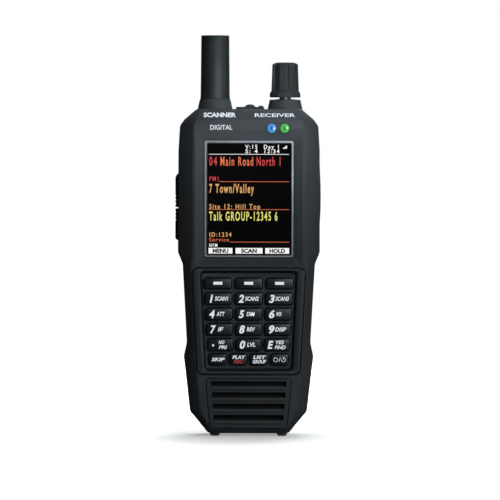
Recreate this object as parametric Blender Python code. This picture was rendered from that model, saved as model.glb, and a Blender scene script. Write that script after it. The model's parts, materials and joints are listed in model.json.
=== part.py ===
"""Handheld radio scanner: keypad, colour display, stub antenna, rotary knob and battery.

Frame: +Z up, +X to the right as the front is seen, the front faces -Y. The origin is on the
surface that the scanner stands on, under the middle of its overall box. Sizes are in millimetres
and MM turns them into metres. "Depth" is measured from the front face towards the back.
"""

import math

import bmesh
import bpy
from mathutils import Matrix, Vector

MM = 0.001
GAP = 0.3            # clearance between pieces that touch or sit in one another
RUN = 0.35           # clearance round a piece that slides

# ---------------------------------------------------------------- driving sizes
CASE_DEPTH = 36.0    # front face to back face
WALL = 2.0           # side, top, bottom and back walls
FRONT_WALL = 4.0     # the face plate, which carries the lens, bezel and grille
DECK = 145.2         # height of the top deck
BASE = 1.2           # height of the underside, above the feet
PARTING = 11.0       # depth of the joint between the two shells
RIM_INSET, RIM_STEP = 0.9, 1.2
REAR_CHAMFER = 2.5
FACET_DEPTH = 7.0    # how far back the slanting front corners run
EDGE_ROUND = 0.7     # rounding of the shells' moulded edges

FRONT_Y = -CASE_DEPTH / 2

# The case outline from bottom to top: height, half width at the sides, half width of the
# front face, and how far the front face has rolled back.
STATIONS = (
    (BASE, 18.0, 15.6, 2.4),
    (3.4, 19.7, 17.4, 0.0),
    (10.9, 26.0, 21.4, 0.0),
    (35.5, 28.8, 24.0, 0.0),
    (41.4, 27.5, 24.2, 0.0),
    (76.3, 29.4, 25.9, 0.0),
    (81.6, 31.55, 24.9, 0.0),
    (DECK - 18.2, 31.4, 24.9, 0.0),
    (DECK - 7.4, 30.75, 24.6, 0.0),
    (DECK - 4.6, 28.7, 23.8, 0.3),
    (DECK, 23.3, 21.4, 3.2),
)

# Feet: two low rails, each in two parts that stop short of the joint between the shells.
FOOT_X, FOOT_WIDTH, FOOT_TAPER = 14.9, 4.6, 0.9
FOOT_FRONT, FOOT_BACK, FOOT_CLEAR = 3.6, CASE_DEPTH - 5, 1.0

# Display: the dish slopes down to the frame, which lies on the lens over the LCD.
SCREEN_HALF, SCREEN_LOW, SCREEN_HIGH = 19.75, 79.4, DECK - 14.1
DISH_DEPTH, DISH_RUN_SIDE, DISH_RUN_TOP, DISH_RUN_LOW = 1.8, 3.8, 4.6, 3.2
DISH_LIP = 0.45      # flat left round the screen frame at the foot of the dish
FRAME_WIDTH, FRAME_THICK = 0.8, 0.6
LENS_THICK = 0.9
SCREEN_LEDGE = 1.25  # how much the housing laps under the lens
LCD_HALF, LCD_LOW, LCD_HIGH, LCD_THICK = 20.6, SCREEN_LOW - 1.0, SCREEN_HIGH + 1.9, 2.5

# Keypad: tapering bezel with a sunk bed, and keys that come up through it.
BEZEL_LOW, BEZEL_HIGH, BEZEL_HALF_LOW, BEZEL_HALF_HIGH = 27.3, 74.7, 22.8, 25.3
BEZEL_THICK, BED_DEPTH = 3.0, 1.6
BED_LOW, BED_HIGH, BED_HALF_LOW, BED_HALF_HIGH = 30.0, 72.4, 18.7, 20.7
BED_SLOPE = 1.1      # how far the bed's walls lean out
KEY_PROUD, KEY_TRAVEL, KEY_FLANGE, KEY_FLANGE_THICK = 0.3, 0.5, 0.35, 0.6
KEY_CORNER = 1.4
MAT_HALF, MAT_LOW, MAT_HIGH, MAT_THICK = 20.7, 30.2, 71.8, 1.2
# Rows from the top: height of the row, key height, key width, distance between keys, names.
KEY_ROWS = (
    (67.8, 5.0, 12.2, 13.70, ("key_soft_left", "key_soft_middle", "key_soft_right")),
    (61.0, 5.6, 12.1, 13.45, ("key_1", "key_2", "key_3")),
    (54.2, 5.6, 11.9, 13.15, ("key_4", "key_5", "key_6")),
    (47.4, 5.6, 11.7, 12.85, ("key_7", "key_8", "key_9")),
    (40.6, 5.6, 11.4, 12.55, ("key_point", "key_0", "key_enter")),
    (34.1, 5.2, 8.0, 9.15, ("key_skip", "key_replay", "key_list", "key_power")),
)

# Loudspeaker grille: a tapering insert with slats.
GRILLE_LOW, GRILLE_HIGH, GRILLE_HALF_LOW, GRILLE_HALF_HIGH = 3.6, 25.5, 17.0, 19.0
GRILLE_THICK = 2.2
SLAT_PITCH, SLAT_HEIGHT, SLAT_COUNT, SLAT_TOP = 5.02, 2.85, 4, 22.2
SLOT_HALF_LOW, SLOT_HALF_HIGH = 15.3, 16.9
CLOTH_HALF, CLOTH_LOW, CLOTH_HIGH, CLOTH_THICK = 16.6, 4.6, 24.6, 0.4
SPEAKER_RADIUS, SPEAKER_Z, SPEAKER_DEPTH, SPEAKER_THICK = 13.0, 17.6, FRONT_WALL + 2.2, 7.6
SPEAKER_RIM, SPEAKER_BASKET, MAGNET_RADIUS = 1.4, 4.2, 7.0

# Indicator lamps above the display.
LAMP_Z, LAMP_RADIUS, LAMP_ALERT_X, LAMP_STATUS_X = DECK - 8.5, 2.0, 10.1, 15.9

# Boards behind the display and the keys.
BOARD_HALF, BOARD_DEPTH, BOARD_THICK = 21.6, FRONT_WALL + 3.3, 1.2
BOARD_LOW, BOARD_HIGH = 38.0, DECK - 6.2
SHIELD_HALF, SHIELD_DEPTH = 21.0, BOARD_DEPTH + BOARD_THICK + 0.4
SHIELD_THICK, SHIELD_WALL = 4.0, 0.6
SHIELD_LOW, SHIELD_HIGH = 40.0, DECK - 18.2

# Top deck: two towers, for the antenna and the knob, and the earphone cover between them.
TOWER_DEPTH = 19.3
TOWER_TOP, TOWER_RADIUS_LOW, TOWER_RADIUS_TOP, TOWER_BORE = DECK + 4.3, 7.8, 6.95, 4.9
ANTENNA_X, ANTENNA_RADIUS_LOW, ANTENNA_RADIUS_TOP, ANTENNA_TOP = -15.2, 6.5, 6.25, DECK + 32.9
JACK_RADIUS, JACK_TOP, JACK_HOLE, JACK_FLANGE = 3.1, TOWER_TOP + 7.5, 0.95, 4.4
PIN_RADIUS, PIN_REACH = 0.64, 6.0
KNOB_X, KNOB_LOW, KNOB_TOP = 16.0, TOWER_TOP + 1.0, TOWER_TOP + 16.3
KNOB_RADIUS_LOW, KNOB_RADIUS_TOP = 6.5, 5.95
KNOB_SKIRT_RADIUS, KNOB_SKIRT_HEIGHT = 6.9, 2.2
KNOB_FLUTES, FLUTE_RADIUS, FLUTE_OUT = 8, 1.7, 1.15  # FLUTE_OUT: from the knob's side to a flute's axis
SHAFT_RADIUS = 2.6
BUSHING_RADIUS = SHAFT_RADIUS + 1.7
ENCODER_SIZE, ENCODER_LOW, PLUNGER_LENGTH = 11.6, DECK - 16.2, 3.6
EAR_X, EAR_PLATE_LEFT, EAR_PLATE_RIGHT, EAR_PLATE_WIDTH = 0.4, -5.9, 6.7, 8.6
EAR_PLATE_THICK, EAR_DOME_RADIUS, EAR_DOME_HEIGHT, EAR_HOLE = 0.6, 2.4, 1.2, 3.4
EAR_JACK_HALF, EAR_JACK_LOW, EAR_RING, EAR_BORE = 3.4, DECK - 15.2, 3.0, 1.8

# Sides: two rubber keys on the left, a rubber port cover on the right over the data socket.
SIDE_KEY_PROUD, SIDE_KEY_LOW, SIDE_KEY_MIDDLE, SIDE_KEY_HIGH = 1.3, 86.8, 101.2, 116.4
SIDE_KEY_FRONT, SIDE_KEY_BACK, SIDE_KEY_FLANGE = 13.2, 21.4, 0.9
SIDE_KEY_HALF = (SIDE_KEY_FRONT + SIDE_KEY_BACK) / 2
SIDE_KEY_RIBS, SIDE_KEY_RIB_PITCH, SIDE_KEY_RIB_DEPTH = 3, 1.7, 0.35
PORT_LOW, PORT_HIGH, PORT_FRONT, PORT_BACK = 92.0, 120.0, 13.6, 23.0
PORT_PROUD, PORT_SUNK = 0.5, 0.9
USB_DEPTH, USB_THICK, USB_Z, USB_LENGTH = 18.2, 4.0, (101.4, 110.6), 6.0

# Back: battery tray and its cover, case screws, threaded hole for a belt clip.
COVER_HALF, COVER_LOW, COVER_HIGH, COVER_THICK = 20.8, 11.6, 87.0, 1.9
TRAY_HALF, TRAY_LOW, TRAY_HIGH, TRAY_FLOOR, TRAY_WALL = 19.3, 22.0, 85.4, 18.5, 1.6
COVER_SCREW_X, COVER_SCREW_Z, COVER_SCREW_RADIUS = 14.0, 16.6, 2.9
COVER_SHANK_RADIUS, COVER_HEAD_SEAT = 1.3, CASE_DEPTH - 1.1
COVER_SOCKET, COVER_HOLE, COVER_SHANK_TIP = CASE_DEPTH - 12, CASE_DEPTH - 11, CASE_DEPTH - 9.5
COVER_GRIPS, COVER_GRIP_LOW, COVER_GRIP_PITCH, COVER_GRIP_HALF = 5, 62.0, 4.0, 13.0
CASE_SCREWS = ((24.5, DECK - 14.2), (23.9, 30.0))
SCREW_HEAD_SEAT = 2.1  # back face to the seat of a case screw's head
SCREW_HEAD_RADIUS, SCREW_SHANK_RADIUS, BOSS_RADIUS = 1.8, 1.1, 2.5
BOSS_START, SCREW_TIP = PARTING - 5.5, PARTING - 4.4  # depths of the front bosses and of the screws' tips
CLIP_HOLE_Z = DECK - 23.2

COLOURS = {
    "case": ((0.035, 0.040, 0.045, 1.0), 0.55, 0.0),
    "rubber": ((0.020, 0.022, 0.025, 1.0), 0.80, 0.0),
    "lens": ((0.010, 0.010, 0.012, 1.0), 0.08, 0.0),
    "trim": ((0.420, 0.430, 0.440, 1.0), 0.35, 0.0),
    "metal": ((0.560, 0.560, 0.570, 1.0), 0.30, 1.0),
    "brass": ((0.750, 0.560, 0.250, 1.0), 0.30, 1.0),
    "board": ((0.020, 0.150, 0.070, 1.0), 0.50, 0.0),
    "blue": ((0.080, 0.320, 0.800, 1.0), 0.25, 0.0),
    "green": ((0.060, 0.600, 0.120, 1.0), 0.25, 0.0),
    "battery": ((0.060, 0.060, 0.070, 1.0), 0.60, 0.0),
}


# ---------------------------------------------------------------- tools
def material(name):
    """The Principled material of that name, made once."""
    found = bpy.data.materials.get(name)
    if found:
        return found
    colour, roughness, metallic = COLOURS[name]
    made = bpy.data.materials.new(name)
    made.use_nodes = True
    shader = made.node_tree.nodes["Principled BSDF"]
    shader.inputs["Base Color"].default_value = colour
    shader.inputs["Roughness"].default_value = roughness
    shader.inputs["Metallic"].default_value = metallic
    return made


def place(name, bm, finish, origin=(0, 0, 0)):
    """Links the mesh as an object whose origin is at that point, in millimetres."""
    bmesh.ops.recalc_face_normals(bm, faces=bm.faces)
    bm.transform(Matrix.Translation(-Vector(origin)))
    bm.transform(Matrix.Scale(MM, 4))
    mesh = bpy.data.meshes.new(name)
    bm.to_mesh(mesh)
    bm.free()
    mesh.materials.append(material(finish))
    obj = bpy.data.objects.new(name, mesh)
    obj.location = Vector(origin) * MM
    bpy.context.scene.collection.objects.link(obj)
    return obj


def hide(obj):
    """Marks a cutter or a helper, which isn't a piece of the scanner."""
    obj.hide_render = True
    obj.display_type = "WIRE"
    return obj


def combine(target, other, operation):
    """Adds the Boolean that cuts the helper from the target or joins it on."""
    modifier = target.modifiers.new(operation.title() + " " + other.name, "BOOLEAN")
    modifier.operation = operation
    modifier.object = hide(other)
    modifier.solver = "EXACT"


def cut(target, *cutters):
    for cutter in cutters:
        combine(target, cutter, "DIFFERENCE")


def join(target, *helpers):
    for helper in helpers:
        combine(target, helper, "UNION")


def smooth(obj, degrees=35):
    """Shades round pieces smooth."""
    obj.data.shade_smooth()
    obj.data.set_sharp_from_angle(angle=math.radians(degrees))
    return obj


def add_loft(bm, rings):
    """Skins closed rings of points into the mesh, one after another, with flat end faces."""
    loops = [[bm.verts.new(point) for point in ring] for ring in rings]
    count = len(loops[0])
    for low, high in zip(loops, loops[1:]):
        for i in range(count):
            j = (i + 1) % count
            bm.faces.new((low[i], low[j], high[j], high[i]))
    bm.faces.new(reversed(loops[0]))
    bm.faces.new(loops[-1])
    return bm


def loft(rings):
    return add_loft(bmesh.new(), rings)


def add_box(bm, x, depth, z):
    """Adds a block between two x, two depths and two heights."""
    low, high = Vector((x[0], at(depth[0]), z[0])), Vector((x[1], at(depth[1]), z[1]))
    matrix = Matrix.LocRotScale((low + high) / 2, None, high - low)
    bmesh.ops.create_cube(bm, size=1.0, matrix=matrix)
    return bm


def box(x, depth, z):
    return add_box(bmesh.new(), x, depth, z)


def at(depth):
    """The y coordinate of a depth behind the front face."""
    return FRONT_Y + depth


def corner_points(low, high, half_low, half_high, radius, steps=3):
    """The (x, z) outline of an upright trapezium with round corners, anticlockwise."""
    slope = (half_high - half_low) / (high - low)
    corners = (
        (half_low + radius * slope, low, -90),
        (half_high - radius * slope, high, 0),
        (-half_high + radius * slope, high, 90),
        (-half_low - radius * slope, low, 180),
    )
    points = []
    for x, z, start in corners:
        centre_x = x - math.copysign(radius, x)
        centre_z = z + radius if z == low else z - radius
        for step in range(steps + 1):
            angle = math.radians(start + 90 * step / steps)
            points.append((centre_x + radius * math.cos(angle), centre_z + radius * math.sin(angle)))
    return points


def grown(low, high, half_low, half_high, by):
    """The same trapezium, larger all round."""
    return low - by, high + by, half_low + by, half_high + by


def facing(outline, depths, centre=(0, 0)):
    """Rings for an outline of (x, z) points that is carried through depths along Y."""
    return [[(centre[0] + x, at(d), centre[1] + z) for x, z in outline] for d in depths]


def plate(outline, front, back):
    return loft(facing(outline, (front, back)))


def add_spun(bm, profile, matrix, sides):
    """Adds a solid spun about the matrix's own +Z from (radius, height) points."""
    before = set(bm.verts)
    closed = [(0.0, profile[0][1]), *profile, (0.0, profile[-1][1])]
    verts = [bm.verts.new((radius, 0.0, height)) for radius, height in closed]
    edges = [bm.edges.new(pair) for pair in zip(verts, verts[1:])]
    bmesh.ops.spin(bm, geom=verts + edges, axis=(0, 0, 1), cent=(0, 0, 0), angle=2 * math.pi,
                   steps=sides, use_merge=True)
    made = [v for v in bm.verts if v not in before]
    bmesh.ops.remove_doubles(bm, verts=made, dist=0.001)
    made = [v for v in bm.verts if v not in before]
    poles = [v for v in made if math.hypot(v.co.x, v.co.y) < 0.001]
    bmesh.ops.dissolve_verts(bm, verts=poles)
    made = [v for v in bm.verts if v not in before]
    bmesh.ops.transform(bm, matrix=matrix, verts=made)
    return bm


def add_turned(bm, profile, centre, sides=24):
    """Adds a solid about an upright axis at (x, y), from (radius, height) points."""
    return add_spun(bm, profile, Matrix.Translation((centre[0], centre[1], 0)), sides)


def turned(profile, centre, sides=24):
    return add_turned(bmesh.new(), profile, centre, sides)


def add_bored(bm, profile, centre, sides=20):
    """Adds a solid about a front-to-back axis at (x, z), from (radius, depth) points."""
    matrix = Matrix.Translation((centre[0], FRONT_Y, centre[1])) @ Matrix.Rotation(-math.pi / 2, 4, "X")
    return add_spun(bm, profile, matrix, sides)


def bored(profile, centre, sides=20):
    return add_bored(bmesh.new(), profile, centre, sides)


def add_rod(bm, radius, centre, front, back, sides=20):
    """Adds a round bar from front to back between two depths. The centre is (x, z)."""
    return add_bored(bm, ((radius, front), (radius, back)), centre, sides)


# ---------------------------------------------------------------- case outline
def station_at(height):
    """(half width, front half width, roll, steepness) of the case at a height."""
    pairs = list(zip(STATIONS, STATIONS[1:]))
    for low, high in pairs:
        if height <= high[0] or high is STATIONS[-1]:
            share = (height - low[0]) / (high[0] - low[0])
            values = [a + share * (b - a) for a, b in zip(low[1:], high[1:])]
            steepness = math.hypot(1, (high[1] - low[1]) / (high[0] - low[0]))
            return (*values, steepness)
    return None


def levels(low, high):
    """The station heights between two heights, with both ends."""
    return [low] + [s[0] for s in STATIONS if low + 0.2 < s[0] < high - 0.2] + [high]


def front_rings(low, high, inset, front, back):
    """Rings of the front half of the case, from its face to a depth."""
    rings = []
    for height in levels(low, high):
        half, face, roll, steep = station_at(height)
        half -= inset * steep
        face -= inset * 0.6
        near = at(front + roll)
        corner = at(FACET_DEPTH + inset * 0.5)
        rings.append([
            (-half, at(back), height), (-half, corner, height), (-face, near, height),
            (face, near, height), (half, corner, height), (half, at(back), height),
        ])
    return rings


def rear_rings(low, high, inset, front, back):
    """Rings of the rear half of the case, from a depth to its back."""
    rings = []
    for height in levels(low, high):
        half, _, _, steep = station_at(height)
        half -= inset * steep
        turn = REAR_CHAMFER
        rings.append([
            (-half, at(front), height), (half, at(front), height), (half, at(back - turn), height),
            (half - turn, at(back), height), (turn - half, at(back), height),
            (-half, at(back - turn), height),
        ])
    return rings


def soften(obj, width, segments=2, degrees=14):
    """Rounds the moulded edges of a shell before anything is cut from it."""
    modifier = obj.modifiers.new("Moulded edges", "BEVEL")
    modifier.width = width * MM
    modifier.segments = segments
    modifier.limit_method = "ANGLE"
    modifier.angle_limit = math.radians(degrees)
    modifier.use_clamp_overlap = True
    return obj


# ---------------------------------------------------------------- front shell
def screws_right_and_left():
    return [(side * x, z) for x, z in CASE_SCREWS for side in (1, -1)]


def screen_outline(grow=0.0, radius=0.9):
    return corner_points(
        SCREEN_LOW - grow, SCREEN_HIGH + grow, SCREEN_HALF + grow, SCREEN_HALF + grow, radius
    )


def dish_rings():
    """The sloping recess round the screen, from its foot out to well in front of the face."""
    reach = 2.0
    foot = screen_outline(DISH_LIP, 1.2)
    mouth = corner_points(
        SCREEN_LOW - DISH_RUN_LOW * reach, SCREEN_HIGH + DISH_RUN_TOP * reach,
        SCREEN_HALF + DISH_RUN_SIDE * reach, SCREEN_HALF + DISH_RUN_SIDE * reach, 4.0,
    )
    return facing(foot, (DISH_DEPTH,)) + facing(mouth, (DISH_DEPTH * (1 - reach),))


def front_housing():
    shell = place("front_housing", loft(front_rings(BASE, DECK, 0, 0, PARTING)), "case")
    soften(shell, EDGE_ROUND)
    cavity = front_rings(BASE + WALL, DECK - WALL, WALL, FRONT_WALL, PARTING + 2)
    cut(shell, place("front_cavity", loft(cavity), "case"))
    bosses = bmesh.new()
    for centre in screws_right_and_left():
        add_rod(bosses, BOSS_RADIUS, centre, BOSS_START, PARTING - GAP, 16)
    join(shell, place("front_bosses", bosses, "case"))
    feet = bmesh.new()
    for side in (-1, 1):
        add_foot(feet, side, FOOT_FRONT, PARTING - FOOT_CLEAR)
    join(shell, place("front_feet", feet, "case"))
    cut(shell, place("front_dish", loft(dish_rings()), "case"))
    lens_seat = plate(screen_outline(GAP), -1, DISH_DEPTH + FRAME_THICK + LENS_THICK + 0.3)
    cut(shell, place("lens_seat", lens_seat, "case"))
    cut(shell, place("window", plate(screen_outline(-SCREEN_LEDGE), -1, FRONT_WALL + 1), "case"))
    trapezium = grown(BEZEL_LOW, BEZEL_HIGH, BEZEL_HALF_LOW, BEZEL_HALF_HIGH, GAP)
    cut(shell, place("bezel_seat", plate(corner_points(*trapezium, 2.9), -1, BEZEL_THICK + GAP), "case"))
    mouth = grown(BED_LOW, BED_HIGH, BED_HALF_LOW, BED_HALF_HIGH, 0.8)
    cut(shell, place("key_mouth", plate(corner_points(*mouth, 1.5), -1, FRONT_WALL + 1), "case"))
    seat = grown(GRILLE_LOW, GRILLE_HIGH, GRILLE_HALF_LOW, GRILLE_HALF_HIGH, GAP)
    cut(shell, place("grille_seat", plate(corner_points(*seat, 1.9), -1, GRILLE_THICK + GAP), "case"))
    mouth = grown(GRILLE_LOW, GRILLE_HIGH, GRILLE_HALF_LOW, GRILLE_HALF_HIGH, -1.4)
    cut(shell, place("grille_mouth", plate(corner_points(*mouth, 1.2), -1, FRONT_WALL + 1), "case"))
    holes = bmesh.new()
    for x in (LAMP_ALERT_X, LAMP_STATUS_X):
        add_rod(holes, LAMP_RADIUS + GAP, (x, LAMP_Z), -2, FRONT_WALL + 1)
    for centre in screws_right_and_left():
        add_rod(holes, SCREW_SHANK_RADIUS + GAP, centre, SCREW_TIP - GAP, PARTING + 1, 12)
    cut(shell, place("front_holes", holes, "case"))
    return shell


def add_foot(bm, side, front, back):
    """A low rail under the case, with slanting sides, that it stands on."""
    half = FOOT_WIDTH / 2
    inner = half - FOOT_TAPER
    rings = [
        [(side * FOOT_X - h, at(front), z), (side * FOOT_X + h, at(front), z),
         (side * FOOT_X + h, at(back), z), (side * FOOT_X - h, at(back), z)]
        for h, z in ((inner, 0.0), (half, BASE * 0.7), (half, BASE + 1.0))
    ]
    return add_loft(bm, rings)


# ---------------------------------------------------------------- rear shell
def rear_housing():
    edge = PARTING + GAP
    shell = place("rear_housing", loft(rear_rings(BASE, DECK, 0, edge, CASE_DEPTH)), "case")
    soften(shell, EDGE_ROUND)
    cavity = rear_rings(BASE + WALL, DECK - WALL, WALL, edge - 2, CASE_DEPTH - WALL)
    cut(shell, place("rear_cavity", loft(cavity), "case"))
    tray = box(
        (-TRAY_HALF - TRAY_WALL, TRAY_HALF + TRAY_WALL),
        (TRAY_FLOOR - TRAY_WALL, CASE_DEPTH - 0.5),
        (TRAY_LOW - TRAY_WALL, TRAY_HIGH + TRAY_WALL),
    )
    seat_depth = CASE_DEPTH - COVER_THICK - GAP
    seat = box(
        (-COVER_HALF - 1.2, COVER_HALF + 1.2), (seat_depth - 2.2, CASE_DEPTH - 0.02),
        (COVER_LOW - 1.0, COVER_HIGH + 1.6),
    )
    join(shell, place("battery_tray", tray, "case"), place("cover_seat", seat, "case"))
    bosses = bmesh.new()
    for centre in screws_right_and_left():
        add_rod(bosses, BOSS_RADIUS, centre, edge + 1.0, CASE_DEPTH - 1, 16)
    join(shell, place("rear_bosses", bosses, "case"))
    sockets = bmesh.new()
    for side in (-1, 1):
        add_rod(sockets, BOSS_RADIUS, (side * COVER_SCREW_X, COVER_SCREW_Z), COVER_SOCKET, seat_depth - 1, 16)
    join(shell, place("cover_screw_bosses", sockets, "case"))
    feet = bmesh.new()
    for side in (-1, 1):
        add_foot(feet, side, edge + RIM_STEP + FOOT_CLEAR, FOOT_BACK)
    join(shell, place("rear_feet", feet, "case"))
    towers = bmesh.new()
    for x in (ANTENNA_X, KNOB_X):
        profile = (
            (TOWER_RADIUS_LOW + 0.2, DECK - 1.5), (TOWER_RADIUS_LOW, DECK),
            (TOWER_RADIUS_TOP, TOWER_TOP - 0.3), (TOWER_RADIUS_TOP - 0.3, TOWER_TOP),
        )
        add_turned(towers, profile, (x, at(TOWER_DEPTH)), 32)
    join(shell, place("towers", towers, "case"))
    cut(shell, place("rear_rim", loft(rim_rings(edge)), "case"))
    cut(shell, place("rear_screw_holes", rear_screw_holes(edge, seat_depth), "case"))
    cut(shell, place("rear_openings", rear_openings(seat_depth), "case"))
    cut(shell, place("battery_pocket", box(
        (-TRAY_HALF, TRAY_HALF), (TRAY_FLOOR, CASE_DEPTH + 1), (TRAY_LOW, TRAY_HIGH)), "case"))
    right = side_wall(PORT_LOW, PORT_HIGH)
    slot = box((right - WALL - 1, right), (USB_DEPTH - USB_THICK / 2, USB_DEPTH + USB_THICK / 2), USB_Z)
    cut(shell, place("usb_slot", slot, "case"))
    return shell


def rim_rings(edge):
    """The step inside the rear shell's edge, where the seal lies."""
    inset = RIM_INSET
    rings = rear_rings(BASE + inset, DECK - inset, inset, edge - 1, edge + RIM_STEP)
    return [
        [ring[0], ring[1], (ring[1][0], at(edge + RIM_STEP), ring[1][2]),
         (ring[0][0], at(edge + RIM_STEP), ring[0][2])]
        for ring in rings
    ]


def rear_screw_holes(edge, seat_depth):
    """Stepped holes for the case screws and plain ones for the cover's screws."""
    bm = bmesh.new()
    head = CASE_DEPTH - SCREW_HEAD_SEAT
    hole, mouth = SCREW_SHANK_RADIUS + GAP, SCREW_HEAD_RADIUS + GAP
    for centre in screws_right_and_left():
        add_bored(bm, ((hole, edge), (hole, head), (mouth, head), (mouth, CASE_DEPTH + 1)), centre, 12)
    for side in (-1, 1):
        centre = (side * COVER_SCREW_X, COVER_SCREW_Z)
        add_rod(bm, COVER_SHANK_RADIUS + GAP, centre, COVER_HOLE, seat_depth + 0.5, 12)
    add_rod(bm, SCREW_SHANK_RADIUS + GAP, (0, CLIP_HOLE_Z), CASE_DEPTH - WALL - 1, CASE_DEPTH + 1, 12)
    return bm


def rear_openings(seat_depth):
    """Openings for the connectors, knob, earphone, side keys, port cover and battery cover."""
    bm = bmesh.new()
    outline = corner_points(COVER_LOW - GAP, COVER_HIGH + GAP, COVER_HALF + GAP, COVER_HALF + GAP, 2.8)
    add_loft(bm, facing(outline, (seat_depth, CASE_DEPTH + 1)))
    antenna_centre, knob_centre = (ANTENNA_X, at(TOWER_DEPTH)), (KNOB_X, at(TOWER_DEPTH))
    under = DECK - WALL - 1
    hole = JACK_RADIUS + GAP
    add_turned(bm, ((hole, under), (hole, DECK), (TOWER_BORE, DECK), (TOWER_BORE, TOWER_TOP + 1)),
               antenna_centre)
    hole = BUSHING_RADIUS + GAP
    add_turned(bm, ((hole, under), (hole, TOWER_TOP + 1)), knob_centre)
    add_turned(bm, ((EAR_HOLE, under), (EAR_HOLE, DECK + 1)), (EAR_X, at(TOWER_DEPTH)), 20)
    left = side_wall(SIDE_KEY_LOW, SIDE_KEY_HIGH)
    add_box(bm, (-left - 1, -left + WALL + 1), (SIDE_KEY_FRONT - RUN, SIDE_KEY_BACK + RUN),
            (SIDE_KEY_LOW - RUN, SIDE_KEY_HIGH + RUN))
    right = side_wall(PORT_LOW, PORT_HIGH)
    add_box(bm, (right - PORT_SUNK - GAP, right + 1), (PORT_FRONT - GAP, PORT_BACK + GAP),
            (PORT_LOW - GAP, PORT_HIGH + GAP))
    return bm


def side_wall(low, high):
    """How far out the side wall is, half way between two heights."""
    return station_at((low + high) / 2)[0]


def housing_gasket():
    """The seal in the step of the rear shell's edge."""
    def band(inset, front, back):
        return [
            [(-h, at(front), z), (h, at(front), z), (h, at(back), z), (-h, at(back), z)]
            for h, z in (
                (station_at(z)[0] - inset * station_at(z)[3], z)
                for z in levels(BASE + inset, DECK - inset)
            )
        ]
    edge = PARTING + GAP
    seal = place("housing_gasket", loft(band(1.1, edge + 0.2, edge + 0.9)), "rubber")
    cut(seal, place("gasket_hole", loft(band(WALL - 0.1, edge - 1, edge + 2)), "rubber"))
    return seal


# ---------------------------------------------------------------- display
def display():
    frame_front = DISH_DEPTH - 0.3
    lens_front = frame_front + FRAME_THICK + GAP
    frame = place("display_frame", plate(screen_outline(), frame_front, frame_front + FRAME_THICK), "trim")
    inside = plate(screen_outline(-FRAME_WIDTH, 0.5), frame_front - 1, frame_front + 2)
    cut(frame, place("frame_hole", inside, "trim"))
    place("display_lens", plate(screen_outline(), lens_front, lens_front + LENS_THICK), "lens")
    lcd_front = FRONT_WALL + GAP
    lcd = box((-LCD_HALF, LCD_HALF), (lcd_front, lcd_front + LCD_THICK), (LCD_LOW, LCD_HIGH))
    place("lcd_module", lcd, "metal")


# ---------------------------------------------------------------- keypad
def key_places():
    """(name, x, z, width, height) of every key."""
    found = []
    for z, height, width, pitch, names in KEY_ROWS:
        first = -(len(names) - 1) / 2
        for i, name in enumerate(names):
            found.append((name, (first + i) * pitch, z, width, height))
    return found


def key_outline(width, height, grow, radius, steps=2):
    return corner_points(-height / 2 - grow, height / 2 + grow, width / 2 + grow, width / 2 + grow,
                         radius, steps)


def keypad():
    outer = corner_points(BEZEL_LOW, BEZEL_HIGH, BEZEL_HALF_LOW, BEZEL_HALF_HIGH, 2.6)
    face = corner_points(*grown(BEZEL_LOW, BEZEL_HIGH, BEZEL_HALF_LOW, BEZEL_HALF_HIGH, -0.35), 2.4)
    rings = facing(outer, (BEZEL_THICK, 0.25)) + facing(face, (-0.1,))
    bezel = place("keypad_bezel", loft(rings), "case")
    bed = corner_points(BED_LOW, BED_HIGH, BED_HALF_LOW, BED_HALF_HIGH, 1.2)
    lip = corner_points(*grown(BED_LOW, BED_HIGH, BED_HALF_LOW, BED_HALF_HIGH, BED_SLOPE), 1.8)
    over = corner_points(*grown(BED_LOW, BED_HIGH, BED_HALF_LOW, BED_HALF_HIGH, 2 * BED_SLOPE), 2.4)
    sunk = facing(bed, (BED_DEPTH,)) + facing(lip, (-0.1,)) + facing(over, (-0.2 - BED_DEPTH,))
    cut(bezel, place("bezel_bed", loft(sunk), "case"))
    holes = bmesh.new()
    for _, x, z, width, height in key_places():
        outline = key_outline(width, height, GAP * 0.8, KEY_CORNER + 0.2)
        add_loft(holes, facing(outline, (0.5, BEZEL_THICK + 1), (x, z)))
    cut(bezel, place("key_holes", holes, "case"))
    for name, x, z, width, height in key_places():
        key(name, x, z, width, height)
    mat_front = BEZEL_THICK + GAP + KEY_FLANGE_THICK + KEY_TRAVEL + GAP
    mat = box((-MAT_HALF, MAT_HALF), (mat_front, mat_front + MAT_THICK), (MAT_LOW, MAT_HIGH))
    place("keypad_mat", mat, "rubber")


def key(name, x, z, width, height):
    """One key: a round-cornered button with a flange that stops it under the bezel."""
    flange = key_outline(width, height, KEY_FLANGE, KEY_CORNER)
    side = key_outline(width, height, 0.0, KEY_CORNER)
    crown = key_outline(width, height, -0.45, KEY_CORNER - 0.3)
    back = BEZEL_THICK + GAP
    rings = facing(flange, (back + KEY_FLANGE_THICK, back), (x, z))
    rings += facing(side, (back, 0.25), (x, z)) + facing(crown, (-KEY_PROUD,), (x, z))
    return place(name, loft(rings), "rubber", (x, at(back), z))


# ---------------------------------------------------------------- loudspeaker
def slot_half(z):
    share = (z - GRILLE_LOW) / (GRILLE_HIGH - GRILLE_LOW)
    return SLOT_HALF_LOW + share * (SLOT_HALF_HIGH - SLOT_HALF_LOW)


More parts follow.
